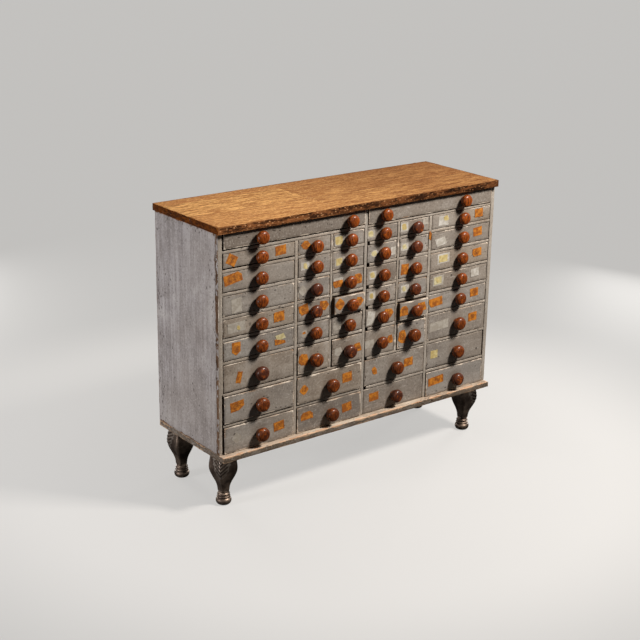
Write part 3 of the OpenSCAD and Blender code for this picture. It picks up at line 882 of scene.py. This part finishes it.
def makeNail(place, facing):
    bpy.ops.object.select_all(action="DESELECT")
    turn = facing.to_track_quat("Z", "Y").to_euler()
    bpy.ops.mesh.primitive_circle_add(
        vertices=nail["sides"], radius=nail["radius"], fill_type="NGON", location=place, rotation=turn
    )
    head = bpy.context.object
    bpy.ops.object.transform_apply(location=True, rotation=True, scale=True)
    bpy.ops.object.mode_set(mode="EDIT")
    bpy.ops.mesh.select_all(action="SELECT")
    bpy.ops.mesh.extrude_region_move(TRANSFORM_OT_translate={"value": facing * nail["stands"]})
    bpy.ops.mesh.inset(thickness=nail["rim"], depth=nail["dome"])
    bpy.ops.object.mode_set(mode="OBJECT")
    keep(head, "tone", 0.5)
    setMaterials(head, boltSteel)
    return head


backBoard = {
    "count": 5, "seam": 0.8 * mm, "inset": 0.15 * mm, "cell": (24 * mm, 8 * mm, 30 * mm), "nailIn": 24 * mm,
    "nailEnd": 14 * mm, "finish": {"edgeRound": 1.0 * mm, "wobble": 0.6 * mm, "chipped": 1.0 * mm},
}


def makeBack():
    low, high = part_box("back_boards")
    count, across, end = backBoard["count"], backBoard["nailIn"], backBoard["nailEnd"]
    step = (high.x - low.x) / count
    boards = []
    for i in range(count):
        x0, x1 = low.x + i * step, low.x + (i + 1) * step
        a, b = inward((x0, low.y, low.z), (x1 - backBoard["seam"], high.y, high.z), backBoard["inset"])
        boards.append(makeBoard(
            "backBoard", a, b, backBoard["cell"], mixed.random(), 1.0, **backBoard["finish"]
        ))
    board = joined("backBoards", boards)
    setMaterials(board, backWood)
    attach(board, "carcass", "back_wood", "back_boards")
    start = Vector((low.x + 30 * mm, high.y - nail["sunk"], low.z + 22 * mm))
    first = makeNail(start, Vector((0, 1, 0)))
    nails = []
    for i in range(count):
        for x in (across, step / 2, step - across):
            for z in (low.z + end, (low.z + high.z) / 2, high.z - end):
                shift = Vector((low.x + i * step + x, start.y, z)) - start
                shift += Vector((mixed.uniform(-4, 4), 0, mixed.uniform(-5, 5))) * mm
                nails.append(copied(first, "nail", shift))
    bpy.data.objects.remove(first)
    attach(joined("backNails", nails), "carcass", "bolt_steel")


makeTop()
makeSides()
makeStrips()
makeUprights()
makeShelves()
makeBase()
makeBack()
print("carcass made")

knobSizes = {  # by whether the knob is a large one
    False: {"head": 21.5 * mm, "collar": 13.5 * mm, "length": 29 * mm, "drop": 1.5 * mm},
    True: {"head": 23.5 * mm, "collar": 16 * mm, "length": 32 * mm, "drop": 2.5 * mm},
}
knobShape = {"sides": 40, "cove": 1.2 * mm, "collarThick": 4.5 * mm, "spigot": 5 * mm, "faceRound": 0.48}


def knobRings(size):  # radius and distance from the drawer front, from the spigot to the middle of the face
    head, collar, length = size["head"], size["collar"], size["length"]
    thick, spigot = knobShape["collarThick"], knobShape["spigot"]
    neck = collar - knobShape["cove"]
    neckY, wideY = thick + 0.06 * length, 0.6 * length
    rings = [
        (spigot, -13 * mm), (spigot, 0.1 * mm), (collar - 0.6 * mm, 0.1 * mm), (collar, 0.8 * mm),
        (collar, thick - 1.0 * mm), (collar - 0.5 * mm, thick - 0.2 * mm),
        (neck - 0.3 * mm, thick + 0.25 * mm), (neck - 0.2 * mm, neckY),
    ]
    for i in range(1, 8):
        t = math.pi / 2 * i / 7
        rings.append((neck + (head - neck) * math.sin(t), wideY - (wideY - neckY) * math.cos(t)))
    for i in range(1, 9):
        t = math.pi / 2 * i / 9
        rings.append((head * math.cos(t) ** knobShape["faceRound"], wideY + (length - wideY) * math.sin(t)))
    return rings + [(0.5 * mm, length)]


def makeKnob(name, size):  # at the origin, with its collar against y = 0 and its face towards -Y
    rings = knobRings(size)
    bpy.ops.object.select_all(action="DESELECT")
    turn = (math.radians(90), 0, 0)
    bpy.ops.mesh.primitive_circle_add(
        vertices=knobShape["sides"], radius=rings[0][0], fill_type="NGON", location=(0, -rings[0][1], 0),
        rotation=turn
    )
    knob = bpy.context.object
    knob.name = name
    bpy.ops.object.transform_apply(location=True, rotation=True, scale=True)
    bpy.ops.object.mode_set(mode="EDIT")
    bpy.ops.mesh.select_all(action="SELECT")
    for (r0, y0), (r1, y1) in zip(rings, rings[1:]):
        bpy.ops.mesh.extrude_region_move(TRANSFORM_OT_translate={"value": (0, y0 - y1, 0)})
        bpy.ops.transform.resize(value=(r1 / r0, 1, r1 / r0), center_override=(0, -y1, 0))
    bpy.ops.mesh.select_all(action="SELECT")
    bpy.ops.mesh.normals_make_consistent(inside=False)
    bpy.ops.object.mode_set(mode="OBJECT")
    out = -placesOf(knob)[:, 1]
    # the crease between collar and head is darkened: painted shade
    keep(knob, "crease", np.clip(1 - np.abs(out - knobShape["collarThick"] - 0.6 * mm) / (2.2 * mm), 0, 1))
    setMaterials(knob, knobWood)
    bpy.ops.object.shade_smooth_by_angle(angle=math.radians(50))
    return knob


knobMasters = {
    large: makeKnob("largeKnob" if large else "smallKnob", size) for large, size in knobSizes.items()
}


def addKnob(name, large, x, y, z, deep):
    turn = Matrix.Rotation(mixed.uniform(0, 2 * math.pi), 4, "Y")
    lean = Matrix.Rotation(math.radians(mixed.uniform(-1.2, 1.2)), 4, "X")
    knob = copied(knobMasters[large], name, (x, y, z), turn @ lean)
    keep(knob, "tone", mixed.random())
    keep(knob, "deep", deep)
    return knob


print("knobs made")

# Each one is its paper, its left, right, upper and lower edge on the front in units of 1.15 mm from the
# carcass's left edge and from the top, its tilt in degrees, and the cuts that shape it: a point and a
# direction in halves of its size
unit = 1.15 * mm
torn = {
    "arrowDown": [(0.0, -1.0, -0.6, -0.8), (0.0, -1.0, 0.6, -0.8)],
    "arrowRight": [(1.0, 0.1, 0.8, 0.6), (1.0, 0.1, 0.8, -0.6)],
    "notchLeft": [(-0.9, -0.4, -0.9, -0.5)],
    "cornerRight": [(0.75, 0.8, 0.7, 0.7)],
    "cornerLow": [(0.5, -0.75, 0.5, -0.85)],
    "round": [
        (0.85, 0.55, 0.75, 0.66), (-0.85, 0.55, -0.75, 0.66), (0.6, 0.9, 0.35, 0.94),
        (-0.6, 0.9, -0.35, 0.94),
    ],
    "diamond": [
        (0.6, 0.6, 0.7, 0.7), (-0.6, 0.6, -0.7, 0.7), (0.6, -0.6, 0.7, -0.7), (-0.6, -0.6, -0.7, -0.7),
    ],
    "ragged": [(0.8, 0.5, 0.9, 0.4), (-0.7, -0.7, -0.6, -0.8), (-0.8, 0.8, -0.6, 0.8)],
    "half": [(0.0, 0.3, 0.25, 0.97)],
    "slant": [(0.85, 0.0, 0.96, 0.28), (-0.85, 0.0, -0.96, -0.28)],
}
labels = {
    "a1": [("orange", 29, 60, 83, 111, -28), ("orange", 185, 220, 82, 108, 3)],
    "b1": [("orange", 270, 304, 82, 106, -4, "diamond")],
    "c1": [("ghost", 387, 424, 85, 114, 0), ("yellow", 389, 415, 88, 111, 3)],
    "d1": [("ghost", 505, 532, 87, 110, 2), ("cream", 508, 526, 89, 106, 0, "ragged")],
    "e1": [
        ("white", 628, 657, 83, 109, 0), ("yellow", 633, 650, 86, 105, 6, "ragged"),
        ("ghost", 712, 732, 82, 100, 0),
    ],
    "f1": [
        ("white", 776, 814, 85, 113, -2), ("yellow", 795, 814, 85, 100, 4, "ragged"),
        ("orange", 921, 954, 82, 108, 2),
    ],
    "a2": [("orange", 19, 77, 134, 162, 10, "cornerRight")],
    "b2": [("white", 271, 300, 142, 165, 0), ("yellow", 280, 292, 145, 162, 3, "ragged")],
    "c2": [("ghost", 390, 424, 148, 174, 0), ("yellow", 394, 415, 151, 171, 0, "cornerLow")],
    "d2": [
        ("white", 517, 550, 148, 168, 2, "diamond"), ("cream", 522, 541, 150, 165, 10, "ragged"),
        ("white", 593, 611, 149, 172, 0),
    ],
    "e2": [("white", 632, 660, 145, 167, 0), ("cream", 638, 653, 148, 163, 8, "ragged")],
    "f2": [("white", 765, 811, 150, 174, 8, "slant"), ("orange", 919, 954, 139, 166, 4)],
    "a3": [("ghost", 42, 75, 205, 245, 4)],
    "b3": [("ghost", 265, 290, 208, 238, 0, "diamond")],
    "c3": [
        ("white", 387, 419, 208, 228, 0), ("orange", 385, 419, 215, 235, 2, "notchLeft"),
        ("orange", 462, 488, 207, 236, 0, "cornerRight"),
    ],
    "d3": [("white", 515, 541, 210, 233, 0), ("yellow", 519, 535, 212, 229, 5, "ragged")],
    "e3": [("orange", 635, 664, 208, 240, -3)],
    "f3": [
        ("white", 778, 826, 200, 230, 2), ("yellow", 784, 818, 205, 226, 0),
        ("orange", 920, 957, 205, 230, 3, "notchLeft"),
    ],
    "a4": [
        ("ghost", 30, 87, 272, 300, 2), ("yellow", 60, 69, 282, 294, 0, "ragged"),
        ("orange", 181, 216, 268, 296, 3),
    ],
    "b4": [("orange", 267, 299, 264, 294, 12, "notchLeft"), ("orange", 338, 371, 266, 293, -6, "arrowRight")],
    "c4": [("orange", 386, 418, 265, 300, 4, "diamond"), ("orange", 462, 488, 273, 299, -3, "arrowRight")],
    "d4": [("white", 515, 540, 271, 295, 0), ("yellow", 519, 533, 275, 291, 0, "ragged")],
    "e4": [("white", 638, 668, 272, 295, 2), ("cream", 643, 656, 275, 292, 10, "ragged")],
    "f4": [
        ("ghost", 762, 806, 266, 297, 0), ("cream", 768, 797, 270, 292, 2),
        ("yellow", 776, 790, 275, 287, 5, "ragged"), ("white", 918, 950, 268, 293, 2),
    ],
    "a5": [
        ("orange", 43, 71, 328, 366, 0, "arrowDown"), ("cream", 186, 220, 334, 350, 8, "slant"),
        ("orange", 184, 220, 343, 363, 3, "half"),
    ],
    "b5": [("ghost", 275, 297, 340, 362, 0, "ragged"), ("orange", 279, 290, 344, 350, 8, "ragged")],
    "c5": [("ghost", 388, 415, 337, 362, 0)],
    "d5": [("white", 512, 540, 330, 372, -8, "cornerLow"), ("orange", 577, 612, 334, 362, -5, "arrowRight")],
    "e5": [("orange", 628, 659, 333, 362, 0, "round"), ("orange", 697, 730, 333, 359, 3, "slant")],
    "f5": [("orange", 752, 805, 334, 361, 5, "notchLeft"), ("orange", 919, 953, 331, 357, 2)],
    "a6": [("orange", 58, 75, 414, 447, -14)],
    "b6": [("orange", 265, 298, 408, 441, -10, "ragged")],
    "c6": [("ghost", 392, 420, 415, 440, 0, "ragged"), ("orange", 465, 490, 414, 440, 5, "slant")],
    "d6": [("ghost", 507, 540, 417, 442, 0), ("orange", 592, 612, 416, 441, 0, "ragged")],
    "e6": [("orange", 632, 661, 410, 450, -6, "ragged")],
    "f6": [("ghost", 757, 834, 411, 439, 3), ("orange", 917, 952, 409, 436, 2)],
    "a7": [("orange", 35, 80, 497, 525, 5, "cornerLow")],
    "bc7": [("orange", 270, 300, 502, 531, 4, "diamond"), ("orange", 423, 458, 497, 526, 3)],
    "de7": [("orange", 537, 554, 504, 529, 12, "ragged"), ("orange", 660, 695, 503, 529, 3)],
    "f7": [("yellow", 767, 795, 502, 527, 0)],
    "a8": [("ghost", 40, 70, 590, 620, 0, "diamond"), ("orange", 180, 216, 590, 617, 5)],
    "bc8": [("orange", 274, 317, 585, 609, 3, "round"), ("orange", 424, 459, 591, 618, 6)],
    "de8": [("orange", 528, 564, 585, 611, 2)],
    "f8": [("orange", 759, 821, 587, 613, 4)],
}
paper = {
    "cell": 1.7 * mm, "thick": 0.22 * mm, "lift": 0.30 * mm, "layer": 0.25 * mm, "tear": 2.8 * mm,
    "curl": 1.1 * mm, "curlReach": 8 * mm,
}
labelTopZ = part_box("top_boards")[1].z


def makeLabel(label, y, layer):
    kind, left, right, upper, lower, tilt, *shape = label
    x0, x1 = leftX + left * unit, leftX + right * unit
    z0, z1 = labelTopZ - lower * unit, labelTopZ - upper * unit
    middle = Vector(((x0 + x1) / 2, y - paper["lift"] - layer * paper["layer"], (z0 + z1) / 2))
    half = Vector(((x1 - x0) / 2, 0, (z1 - z0) / 2))
    cuts = [max(4, round(2 * size / paper["cell"])) for size in (half.x, half.z)]
    bpy.ops.object.select_all(action="DESELECT")
    bpy.ops.mesh.primitive_grid_add(
        x_subdivisions=cuts[0], y_subdivisions=cuts[1], size=1, location=middle,
        rotation=(math.radians(90), 0, 0)
    )
    sheet = bpy.context.object
    sheet.scale = (2 * half.x, 2 * half.z, 1)
    bpy.ops.object.transform_apply(location=True, rotation=True, scale=True)
    bpy.ops.object.mode_set(mode="EDIT")
    for px, pz, nx, nz in torn[shape[0]] if shape else []:
        bpy.ops.mesh.select_all(action="SELECT")
        at = middle + Vector((px * half.x, 0, pz * half.z))
        bpy.ops.mesh.bisect(plane_co=at, plane_no=(nx, 0, nz), clear_outer=True)
    bpy.ops.mesh.select_all(action="SELECT")
    bpy.ops.transform.rotate(value=math.radians(tilt), orient_axis="Y", center_override=middle)
    if mixed.random() < 0.5:  # one corner has come away from the wood
        corner = middle + Vector((mixed.choice((-1, 1)) * half.x, 0, mixed.choice((-1, 1)) * half.z))
        reach = paper["curlReach"] * mixed.uniform(0.7, 1.2)
        pick(sheet, "VERT", lambda vert: (vert.co - corner).length < reach * 0.4)
        bpy.ops.transform.translate(
            value=(0, -paper["curl"] * mixed.uniform(0.4, 1), 0), use_proportional_edit=True,
            proportional_size=reach
        )
    bpy.ops.object.mode_set(mode="OBJECT")
    tearing = {"texture": tears, "texture_coords": "LOCAL", "strength": paper["tear"], "mid_level": 0.5}
    for axis in "XZ":
        applyModifier(sheet, "DISPLACE", direction=axis, **tearing)
    applyModifier(sheet, "SOLIDIFY", thickness=paper["thick"], offset=1)
    keep(sheet, "tone", mixed.random())
    setMaterials(sheet, papers[kind])
    return sheet


# How much further back than its opening's usual gap each edge is, in mm: left, right, bottom, top
gaps = {
    "top_left": (3.2, 0, 3.0, 0.4), "top_right": (0, 0.3, 0, 0), "a1": (2.6, 0, 2.4, 0.6),
    "a2": (0.6, 0.9, 1.0, 0), "a3": (0.6, 0, 0.3, 0.4), "a4": (1.8, 0.6, 1.0, 0), "a5": (1.4, 0, 0.7, 0.4),
    "a6": (1.6, 0, 1.4, 0.6), "a7": (1.4, 0.5, 1.6, 0.2), "a8": (1.2, 0.3, 0, 0.2), "b2": (1.6, 0, 1.0, 0.2),
    "b1": (0.6, 0, 0.3, 0.3), "b4": (0.9, 0, 0, 0), "c1": (0.4, 1.4, 0, 0), "c2": (0.4, 1.6, 0, 0),
    "c3": (0, 1.4, 0, 0), "d6": (1.4, 0, 0, 0.8), "de7": (1.6, 0, 0.4, 0.8), "e3": (1.5, 0.4, 0.4, 0),
    "de8": (0, 1.2, 0, 0.6), "f2": (0, 1.2, 1.0, 0.5), "f5": (0, 1.2, 0.6, 0.9), "f7": (0, 3.6, 1.0, 0.8),
    "f8": (0, 2.0, 0, 0.4), "f1": (0, 0.3, 0, 0), "bc7": (0.4, 0.4, 0.6, 0), "bc8": (0.3, 0.4, 0, 0),
    "f6": (0.2, 0.8, 0.3, 0.2), "f3": (0, 0.3, 0.6, 0.2),
}
drawerBuild = {
    "cell": (9 * mm, 3.5 * mm, 7 * mm), "wrap": 3 * mm, "side": 8 * mm, "bottom": 4 * mm, "grooveUp": 4 * mm,
    "sideDrop": 6 * mm, "sideSpace": 1.5 * mm, "proud": 0.5 * mm,
}
darkenedFronts = {  # how much darker each front is made, from 0 to 1
    "top_left": 0.55, "top_right": 0.38, "bc8": 0.42, "de8": 0.32, "f7": 0.18, "bc7": 0.15, "f2": 0.14,
    "f3": 0.12, "f4": 0.12, "f6": 0.1, "de7": 0.12, "a6": 0.06, "b5": 0.06,
}


def makeFront(name, x0, x1, z0, z1, y0, knobs, wear):
    low, high = (x0, y0, z0), (x1, y0 + fit["front"], z1)
    front = makeBoard(
        "front_" + name, low, high, drawerBuild["cell"], mixed.random(), wear, edgeRound=0.9 * mm,
        wobble=0.45 * mm, chipped=0.9 * mm,
    )
    places = placesOf(front)
    across = np.min([np.abs(places[:, 0] - x) for x, z in knobs], axis=0)
    off = np.stack([across, np.zeros(len(places)), places[:, 2] - knobs[0][1]], axis=1)
    keep(front, "fromKnob", off, "FLOAT_VECTOR")
    keep(front, "soot", darkenedFronts.get(name, 0))
    paintFaces(
        front, (drawerPaint, grimyWood), lambda face: 0 if face.center.y < y0 + drawerBuild["wrap"] else 1
    )
    return front


def makeBox(x0, x1, z0, z1, y0, y1):
    side, bottom, up = drawerBuild["side"], drawerBuild["bottom"], drawerBuild["grooveUp"]
    z2 = z1 - drawerBuild["sideDrop"]
    cell = (30 * mm, 30 * mm, 16 * mm)
    boards = [
        ((x0, y0, z0), (x0 + side, y1, z2)), ((x1 - side, y0, z0), (x1, y1, z2)),
        ((x0 + side, y1 - side, z0 + up), (x1 - side, y1, z2 - 1 * mm)),
        ((x0 + side - 1 * mm, y0 - 0.5 * mm, z0 + up), (x1 - side + 1 * mm, y1 - side, z0 + up + bottom)),
    ]
    made = []
    for low, high in boards:
        made.append(makeBoard(
            "board", low, high, cell, mixed.random(), 1.0, edgeRound=0.7 * mm, wobble=0.3 * mm
        ))
    box = joined("box", made)
    setMaterials(box, boxWood)
    return box


boxMasters = {}


def addDrawer(node):
    name = node.replace("drawer_", "")
    left, right, bottom, top, y0 = opening(node)
    row = 0 if name.startswith("top") else int(name[-1])
    large = row >= 6 and name != "d6"
    middleZ = (bottom + top) / 2
    if row == 0:
        pair = (0, 2) if name == "top_left" else (3, 5)
        knobs = [(sum(columns[c]) / 2, middleZ) for c in pair]
    else:
        knobs = [((left + right) / 2, middleZ)]
    standsOut = y0 < frontY - drawerBuild["proud"]
    back = 0 if standsOut else mixed.uniform(0.5, 1.3) * mm
    cut = gaps.get(name, tuple(mixed.uniform(0.6, 1.4) for i in range(4)))
    gap = fit["gap"]
    x0, x1 = left + gap + cut[0] * mm, right - gap - cut[1] * mm
    z0, z1 = bottom + gap + cut[2] * mm, top - gap - cut[3] * mm
    faceY = y0 + back
    # drawers that stand out get more worn arris: partly real wear, partly a painted highlight on their lit
    # top arris
    wear = 2.0 if standsOut else mixed.uniform(0.6, 1.3)
    front = makeFront(name, x0, x1, z0, z1, faceY, knobs, wear)
    attach(front, node, "drawer_paint", node)
    size = (round((right - left) / mm), round((top - bottom) / mm))
    boxY = y0 + fit["front"] + 0.1 * mm
    if size not in boxMasters:
        space = drawerBuild["sideSpace"]
        box = makeBox(left + space, right - space, bottom + fit["run"], top, boxY, y0 + fit["drawerDepth"])
        box.name = "box_" + name
        boxMasters[size] = box, (left, boxY, bottom)
    else:
        master, at = boxMasters[size]
        box = copied(master, "box_" + name, Vector((left, boxY, bottom)) - Vector(at))
        keep(box, "tone", mixed.random())
    attach(box, node, "box_wood", node)
    deep = 0.1 + 0.055 * row + mixed.uniform(0, 0.12)
    turned = [addKnob("knob", large, x, faceY, z - knobSizes[large]["drop"], deep) for x, z in knobs]
    attach(joined("knob_" + name, turned), node, "knob_wood", node)
    if name in labels:
        sheets = [makeLabel(label, faceY, i) for i, label in enumerate(labels[name])]
        attach(joined("label_" + name, sheets), node, "label_paper", node)


for node in sorted(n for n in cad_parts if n.startswith("drawer_")):
    addDrawer(node)
for master in knobMasters.values():
    bpy.data.objects.remove(master)
scrapEnds = [(x - leftX) / unit for x in (columns[4][1] + 1.6 * mm, columns[5][0] - 1.6 * mm)]
scrap = makeLabel(("orange", *scrapEnds, 122, 152, 0, "ragged"), frontY + railSetBack, 0)
scrap.name = "labelScrap"
attach(scrap, "carcass", "label_paper")
print("drawers made")

legShape = {  # in mm, each foot and ring point a radius and a height
    "sides": 32,
    "foot": [
        (13, 0), (17.5, 0.6), (21.5, 2.8), (24.6, 7), (26, 13), (25.4, 17.8), (23, 21.6), (19.8, 24),
        (18.6, 24.6),
    ],
    "rings": [
        (21.0, 25.0), (22.4, 26.6), (22.4, 28.6), (21.0, 30.4), (18.2, 31.4), (17.6, 32.6), (18.6, 34.0),
        (20.4, 35.2), (21.0, 36.8), (20.6, 38.6), (18.8, 40.2), (17.2, 41.2), (16.6, 44),
    ],
    # height, width, shift towards the corner
    "sections": [
        (48, 29.5, 0.7), (56, 30.5, 0.8), (64, 32.5, 1.0), (72, 36.5, 1.3), (81, 42.5, 1.6), (90, 50, 2.0),
        (100, 58, 2.4), (110, 65.5, 2.7), (120, 70.5, 2.9), (130, 72.5, 2.8), (142, 71, 2.4), (154, 68, 1.8),
        (166, 65, 0.9), (177.8, 62.5, 0),
    ],
    "cornerShare": 0.13, "panelRim": 3.4, "panelDeep": -1.6, "panelZ": (76, 172),
}
leafShape = {
    "foot": 104 * mm, "top": 170 * mm, "fade": 8 * mm, "step": 12 * mm, "slope": 0.8, "half": 30 * mm,
    "tip": 5 * mm, "deep": 1.5 * mm,
}


# A leaf is cast over the corner of the knee, with ribs that run down and away from that corner
def carveLeaf(leg):
    places = placesOf(leg)
    height = places[:, 2]
    across = np.abs(places[:, 0] - places[:, 1]) / math.sqrt(2)
    up = np.clip((height - leafShape["foot"]) / (leafShape["top"] - leafShape["foot"]), 0, 1)
    half = leafShape["tip"] + (leafShape["half"] - leafShape["tip"]) * np.sqrt(up)
    inside = np.clip((half - across) / leafShape["tip"], 0, 1) * (places[:, 0] + places[:, 1] < 0)
    inside *= np.clip((height - leafShape["foot"]) / leafShape["fade"], 0, 1)
    inside *= np.clip((leafShape["top"] - height) / leafShape["fade"], 0, 1)
    ribs = 0.5 - 0.5 * np.cos(2 * math.pi * (height - leafShape["slope"] * across) / leafShape["step"])
    groove = inside * ribs
    carved = leg.vertex_groups.new(name="carved")
    for index in np.nonzero(groove > 0.001)[0]:
        carved.add([int(index)], float(groove[index]), "REPLACE")
    applyModifier(leg, "DISPLACE", strength=-leafShape["deep"], mid_level=0.0, vertex_group="carved")
    leg.vertex_groups.clear()
    keep(leg, "leaf", groove)


def makeLeg():  # with its foot on the z axis and its knee towards -X -Y
    bpy.ops.object.select_all(action="DESELECT")
    rings, sections = legShape["foot"] + legShape["rings"], legShape["sections"]
    bpy.ops.mesh.primitive_circle_add(vertices=legShape["sides"], radius=rings[0][0] * mm, fill_type="NGON")
    leg = bpy.context.object
    leg.name = "leg"
    bpy.ops.object.mode_set(mode="EDIT")
    bpy.ops.mesh.select_all(action="SELECT")
    for (r0, z0), (r1, z1) in zip(rings, rings[1:]):
        bpy.ops.mesh.extrude_region_move(TRANSFORM_OT_translate={"value": (0, 0, (z1 - z0) * mm)})
        bpy.ops.transform.resize(value=(r1 / r0, r1 / r0, 1), center_override=(0, 0, z1 * mm))
    bpy.ops.mesh.delete(type="ONLY_FACE")
    z0, w0, s0 = sections[0]
    shift = s0 * mm / math.sqrt(2)
    bpy.ops.mesh.select_all(action="DESELECT")
    bpy.ops.mesh.primitive_plane_add(size=w0 * mm, location=(-shift, -shift, z0 * mm))
    bpy.ops.mesh.bevel(
        offset=w0 * mm * legShape["cornerShare"], offset_type="OFFSET", segments=7, affect="VERTICES"
    )
    pick(leg, "FACE", lambda face: abs(face.calc_center_median().z - z0 * mm) < 0.1 * mm)
    for (z0, w0, s0), (z1, w1, s1) in zip(sections, sections[1:]):
        d = (s0 - s1) * mm / math.sqrt(2)
        bpy.ops.mesh.extrude_region_move(TRANSFORM_OT_translate={"value": (d, d, (z1 - z0) * mm)})
        at = -s1 * mm / math.sqrt(2)
        bpy.ops.transform.resize(value=(w1 / w0, w1 / w0, 1), center_override=(at, at, z1 * mm))
    ends = rings[-1][1] * mm, sections[0][0] * mm
    pick(leg, "EDGE", lambda edge: all(min(abs(v.co.z - z) for z in ends) < 0.05 * mm for v in edge.verts))
    bpy.ops.mesh.bridge_edge_loops()
    bpy.ops.mesh.select_all(action="SELECT")
    bpy.ops.mesh.normals_make_consistent(inside=False)
    low, high = (z * mm for z in legShape["panelZ"])
    for axis in (0, 1):
        pick(leg, "FACE", lambda face: (
            face.normal[axis] < -0.7 and abs(face.normal[1 - axis]) < 0.06
            and low < face.calc_center_median().z < high
        ))
        bpy.ops.mesh.inset(thickness=legShape["panelRim"] * mm, depth=legShape["panelDeep"] * mm)
    bpy.ops.object.mode_set(mode="OBJECT")
    applyModifier(leg, "SUBSURF", levels=2, render_levels=2)
    carveLeaf(leg)
    keep(leg, "tone", 0.5)
    setMaterials(leg, legIron)
    bpy.ops.object.shade_smooth_by_angle(angle=math.radians(60))
    return leg


legMaster = makeLeg()
for node, turn in {
    "leg_front_left": 0, "leg_front_right": 90, "leg_back_left": 270, "leg_back_right": 180,
}.items():
    low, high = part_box(node)
    leg = copied(legMaster, node.replace("leg_", "leg-"), turn=Matrix.Rotation(math.radians(turn), 4, "Z"))
    places = placesOf(leg)
    middle = (low + high) / 2
    x, y = ((places[:, axis].min() + places[:, axis].max()) / 2 for axis in (0, 1))
    shift = Vector((middle.x - x, middle.y - y, 0))
    leg.data.transform(Matrix.Translation(shift))
    attach(leg, "carcass", "leg_iron", node)
bpy.data.objects.remove(legMaster)
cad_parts["leg_bolts"].data.materials.clear()
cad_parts["leg_bolts"].data.materials.append(boltSteel)
print("legs made")


def makeFloor():
    bpy.ops.object.select_all(action="DESELECT")
    bpy.ops.mesh.primitive_plane_add(size=60, location=(0, 0, 0))
    floor = bpy.context.object
    floor.name = "floor"
    material, tree, shader = startMaterial("floor")
    where = addNode(tree, "TexCoord").outputs["Object"]
    soft = noiseOf(tree, where, 1.4, 5.0, 0.6)
    r, g, b = room["floor"]
    seen = addNode(tree, "LightPath").outputs["Is Camera Ray"]
    away = addNode(tree, "VectorMath", {0: where}, operation="LENGTH").outputs["Value"]
    pale = blend(tree, soft, (r * 0.94, g * 0.94, b * 0.94, 1), (r, g, b, 1))
    pale = blend(tree, spread(tree, away, *room["lit"]), pale, (0, 0, 0, 1))
    under = room["under"]
    tree.links.new(blend(tree, seen, (under, under, under, 1), pale), shader["Base Color"])
    shader["Roughness"].default_value = 0.8
    shader["Emission Color"].default_value = room["glow"] + (1,)
    tree.links.new(seen, shader["Emission Strength"])
    setMaterials(floor, material)


def makeWorld():
    world = bpy.data.worlds.new("room")
    bpy.context.scene.world = world
    world.use_nodes = True
    tree = world.node_tree
    tree.nodes["Background"].inputs["Color"].default_value = (1, 1, 1, 1)
    tree.nodes["Background"].inputs["Strength"].default_value = room["fill"]
    shown = addNode(tree, "Background", {"Color": room["shown"] + (1,), "Strength": 1.0})
    rays = addNode(tree, "LightPath").outputs
    seen = calc(tree, "MAXIMUM", rays["Is Camera Ray"], rays["Is Glossy Ray"])
    mixer = addNode(tree, "MixShader", {0: seen, 1: tree.nodes["Background"].outputs[0], 2: shown.outputs[0]})
    tree.links.new(mixer.outputs[0], tree.nodes["World Output"].inputs["Surface"])


makeFloor()
makeWorld()
for name, look in lights.items():
    makeLight(name, look)
makeCamera()
bpy.context.scene.view_settings.view_transform = "Standard"
print("scene ready")
